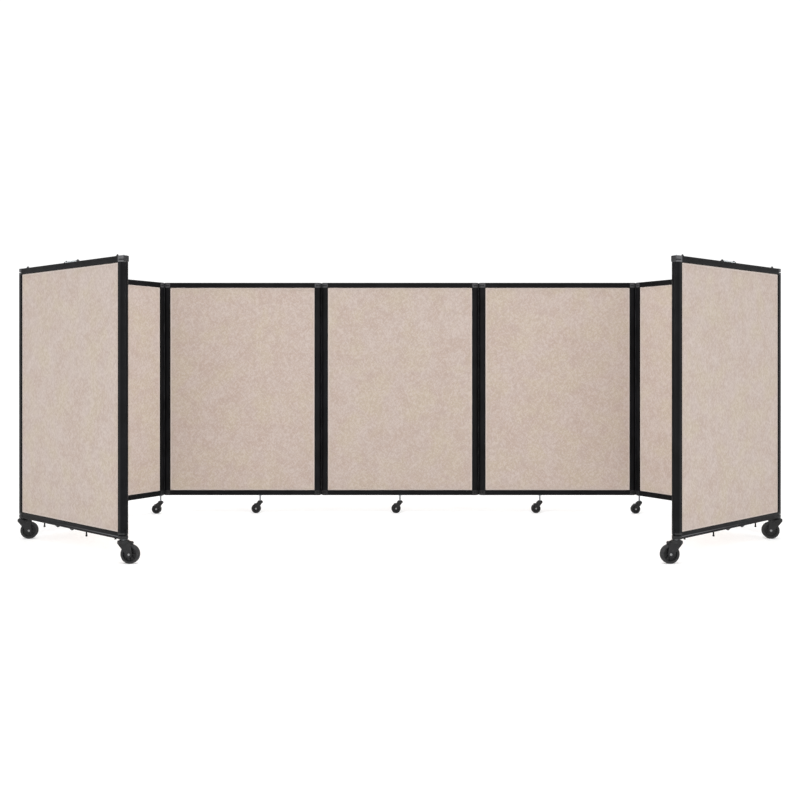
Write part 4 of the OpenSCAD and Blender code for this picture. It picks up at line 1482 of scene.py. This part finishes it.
@dataclass
class RailFittings:
    """What stands on the top rail and hangs under the bottom rail of an end panel."""

    place: PanelPlace
    inner: float = 382.0
    fitting_width: float = 16.0
    holder: tuple[Level, ...] = ((0.0, 15.0, 5.0, 0.0), (0.0, 15.0, 5.0, 1.2), (0.0, 7.0, 4.5, 6.0),
                                 (0.3, 3.0, 3.2, 10.0))
    bar_ends: Point = (-29.0, 58.0)
    bar_height: float = 6.0
    wedge_spots: Point = (-97.0, 17.0)
    wedge: tuple[Level, ...] = ((-16.0, 12.0, 8.0, 0.0), (-15.5, 11.5, 8.0, 0.6), (-1.5, 1.5, 4.0, 9.5))
    bolt_spots: Point = (-210.0, 127.0)
    bolt_length: float = 22.0
    bolt_radius: float = 3.3
    bolt_head: float = 4.2
    screw_in: float = 43.0
    screw_length: float = 8.5
    peg_in: float = 28.0
    peg_height: float = 9.0
    peg_radius: float = 2.5
    # The peg's cone in shares of its radius and its height, from its foot to its tip
    peg: tuple[Point, ...] = ((2.4, 0.0), (2.4, 0.3), (1.6, 0.6), (0.9, 0.95), (0.7, 1.0), (0.0, 1.0))
    sunk: float = 3.0

    def build(self) -> None:
        """Make the holders, the clear bar, the wedges, the bolts, the screws and the pegs."""
        turn = Matrix.Rotation(0 if self.place.free_side > 0 else math.pi, 4, "Z")
        head, foot = self.place.middle(self.place.high) @ turn, self.place.middle(self.place.low) @ turn
        number, body = self.place.number, self.place.body
        clip, fittings = f"bar_clip_{number}", f"rail_fittings_{number}"
        self.holders().piece(f"bar_holders_{number}", head, Finishes.CASTER, body, "clear_bar", clip, bevel=0.6)
        self.bar().piece(f"clear_bar_{number}", head, Finishes.CLEAR, body, "clear_bar", clip, bevel=0.8)
        self.wedges().piece(f"rail_wedges_{number}", foot, Finishes.CASTER, body, "rail_fitting", fittings,
                            bevel=0.5)
        self.bolts().piece(f"rail_bolts_{number}", foot, Finishes.OXIDE, body, "rail_fitting", fittings)
        self.pegs().piece(f"rail_pegs_{number}", head, Finishes.CASTER, body, "rail_fitting", fittings)

    def holders(self) -> Form:
        """Return both holders, which narrow upwards."""
        form = Form()
        self.hump(form, self.bar_ends[1], 1, 1, self.holder)
        self.hump(form, self.bar_ends[0], -1, 1, self.holder)
        return form

    def bar(self) -> Form:
        """Return the clear bar."""
        form = Form()
        half = self.fitting_width / 2 - 1
        form.block((self.bar_ends[0] + SEAM, -half, SEAM), (self.bar_ends[1] - SEAM, half, self.bar_height))
        return form

    def wedges(self) -> Form:
        """Return the wedges under the bottom rail."""
        form = Form()
        for x in self.wedge_spots:
            self.hump(form, x, 1, -1, self.wedge)
        return form

    def bolts(self) -> Form:
        """Return the hanging bolts and the short screws."""
        form = Form()
        for x in self.bolt_spots:
            self.bolt(form, x, self.bolt_length)
        for x in (self.screw_in - self.inner, self.inner - self.screw_in):
            self.bolt(form, x, self.screw_length)
        return form

    def pegs(self) -> Form:
        """Return the pegs on the top rail: a cone on a foot, with a shank in the rail."""
        r, h = self.peg_radius, self.peg_height
        profile = [(0, -self.sunk), (r, -self.sunk), (r, 0)] + [(r * across, h * up) for across, up in self.peg]
        form = Form()
        for x in (self.peg_in - self.inner, self.inner - self.peg_in):
            form.lathe(profile, Matrix.Translation((x, 0, 0)), 32)
        return form

    def hump(self, form: Form, x: float, way: int, up: int, levels: Sequence[Level]) -> None:
        """Add a moulding that narrows away from its rail.

        Args:
            form: the mesh that takes it.
            x: its place along the rail.
            way: 1 if its far side lies towards +X, otherwise -1.
            up: 1 on the top rail, -1 under the bottom one.
            levels: its near side, far side, half width and height, from the rail outwards.
        """
        form.loft([[Vector((x + way * a, b, up * height))
                    for a, b in ((near, -half), (far, -half), (far, half), (near, half))]
                   for near, far, half, height in levels])

    def bolt(self, form: Form, x: float, length: float) -> None:
        """Add a bolt that hangs under the rail, head down, threaded above its head.

        Args:
            form: the mesh that takes it.
            x: its place along the rail.
            length: how far it hangs down.
        """
        head, tall, chamfer = self.bolt_head, min(6.0, length * 0.4), 0.4
        spot, socket = Matrix.Translation((x, 0, 0)), 0.9 - length
        form.lathe([(0, socket), (head * 0.45, socket), (head * 0.5, -length), (head - chamfer, -length),
                    (head, chamfer - length), (head, tall - length - 0.2), (head - 0.3, tall - length),
                    (0, tall - length)], spot, 32)
        form.thread(self.bolt_radius, tall - length - 0.1, self.sunk, place=spot)


# ---- The whole partition and its studio --------------------------------------------------------


@dataclass
class Partition:
    """All seven panels with their hinges and casters."""

    casters: tuple[str, ...] = ("1_outer", "1_inner", "2", "3", "4", "5", "6", "7_inner", "7_outer")

    def build(self) -> None:
        """Make every sub-assembly in order."""
        places = [PanelPlace.of(number) for number in range(1, PANEL_COUNT + 1)]
        for place in places:
            self.panel(place)
            LOG.info("panel %d is done", place.number)
        for left, right in zip(places, places[1:]):
            LinkHinge(left, right).build()
            LOG.info("hinge %d%d is done", left.number, right.number)
        for name in self.casters:
            place = CasterPlace(name)
            kind = EndCaster if place.is_big else MiddleCaster
            kind(place, places[0].low / MM).build()
            LOG.info("caster %s is done", name)

    def panel(self, place: PanelPlace) -> None:
        """Dress one panel.

        Args:
            place: where it stands.
        """
        carried = frame["nodes"][f"frame_{place.number}"]
        # The end panels' frames get the coat with the painted highlight on the bottom rail's lip
        carried.data.materials.clear()
        carried.data.materials.append((Finishes.END_COAT if place.is_end else Finishes.COAT).material)
        FeltBoard(place).build()
        for side in (-1, 1):
            KnuckleBracket(place, side, False, stem_kind(place, side)).build()
            KnuckleBracket(place, side, True, StemKind.PIN).build()
        if place.is_end:
            FreeEndTrim(place).build()
            RailFittings(place).build()


@dataclass
class Studio:
    """Plain pale floor, soft light and the camera that looks on as the photograph does."""

    eye: tuple[float, float, float] = (0.0, -4.2337, 0.7895)
    lens_mm: float = 41.17
    sensor_mm: float = 36.0
    shift_down: float = 0.045
    floor_size: float = 60.0
    sky_strength: float = 1.1

    def build(self) -> None:
        """Make the floor, the lights, the world and the camera."""
        bpy.context.scene.view_settings.view_transform = "Standard"
        self.floor()
        self.world()
        self.lamp("top", spot=(0, -0.9, 5.0), target=(0, -0.5, 0), size=4.0, watts=100)
        for side, word in ((-1, "left"), (1, "right")):
            self.lamp(f"front_{word}", spot=(side * 1.1, -6.0, 1.9), target=(0, 0.2, 0.5), size=3.0, watts=30)
            # A lamp with a grid reaches across to the panels that stand turned from the camera, and to no others
            self.lamp(f"cross_{word}", spot=(side * 1.9, -2.4, 1.3), target=(-side * 1.6, 0.5, 0.6), size=0.8,
                      watts=2, spread_deg=34.0)
        self.camera()

    def floor(self) -> None:
        """Lay the floor."""
        form = bmesh.new()
        bmesh.ops.create_grid(form, x_segments=1, y_segments=1, size=self.floor_size / 2)
        mesh = bpy.data.meshes.new("studio_floor")
        form.to_mesh(mesh)
        form.free()
        mesh.materials.append(Finishes.FLOOR.material)
        floor = bpy.data.objects.new("studio_floor", mesh)
        bpy.context.scene.collection.objects.link(floor)

    def world(self) -> None:
        """Surround the scene with even white light."""
        world = bpy.data.worlds.new("studio_white")
        world.use_nodes = True
        tree = world.node_tree
        tree.nodes.clear()
        sky = add_node(tree, "ShaderNodeBackground", {"Color": (1, 1, 1, 1), "Strength": self.sky_strength})
        add_node(tree, "ShaderNodeOutputWorld", {"Surface": sky.outputs["Background"]})
        bpy.context.scene.world = world

    def lamp(self, name: str, spot: Sequence[float], target: Sequence[float], size: float, watts: float,
             spread_deg: float = 180.0) -> None:
        """Add a soft square lamp.

        Args:
            name: the lamp's name.
            spot: where it hangs, in metres.
            target: what it points at.
            size: its side, in metres.
            watts: its power.
            spread_deg: how wide its light fans out.
        """
        data = bpy.data.lights.new(name, "AREA")
        data.spread = math.radians(spread_deg)
        data.size = size
        data.energy = watts
        made = bpy.data.objects.new(name, data)
        made.location = spot
        made.rotation_euler = (Vector(target) - Vector(spot)).to_track_quat("-Z", "Y").to_euler()
        bpy.context.scene.collection.objects.link(made)

    def camera(self) -> None:
        """Set up the camera."""
        data = bpy.data.cameras.new("photograph_view")
        data.lens = self.lens_mm
        data.sensor_width = self.sensor_mm
        data.shift_y = -self.shift_down
        made = bpy.data.objects.new("photograph_view", data)
        made.location = self.eye
        made.rotation_euler = (math.radians(90), 0, 0)
        bpy.context.scene.collection.objects.link(made)
        bpy.context.scene.camera = made


def main() -> None:
    """Build the partition and its studio."""
    logging.basicConfig(level=logging.INFO, format="%(message)s")
    Partition().build()
    Studio().build()


if __name__ == "__main__":
    main()
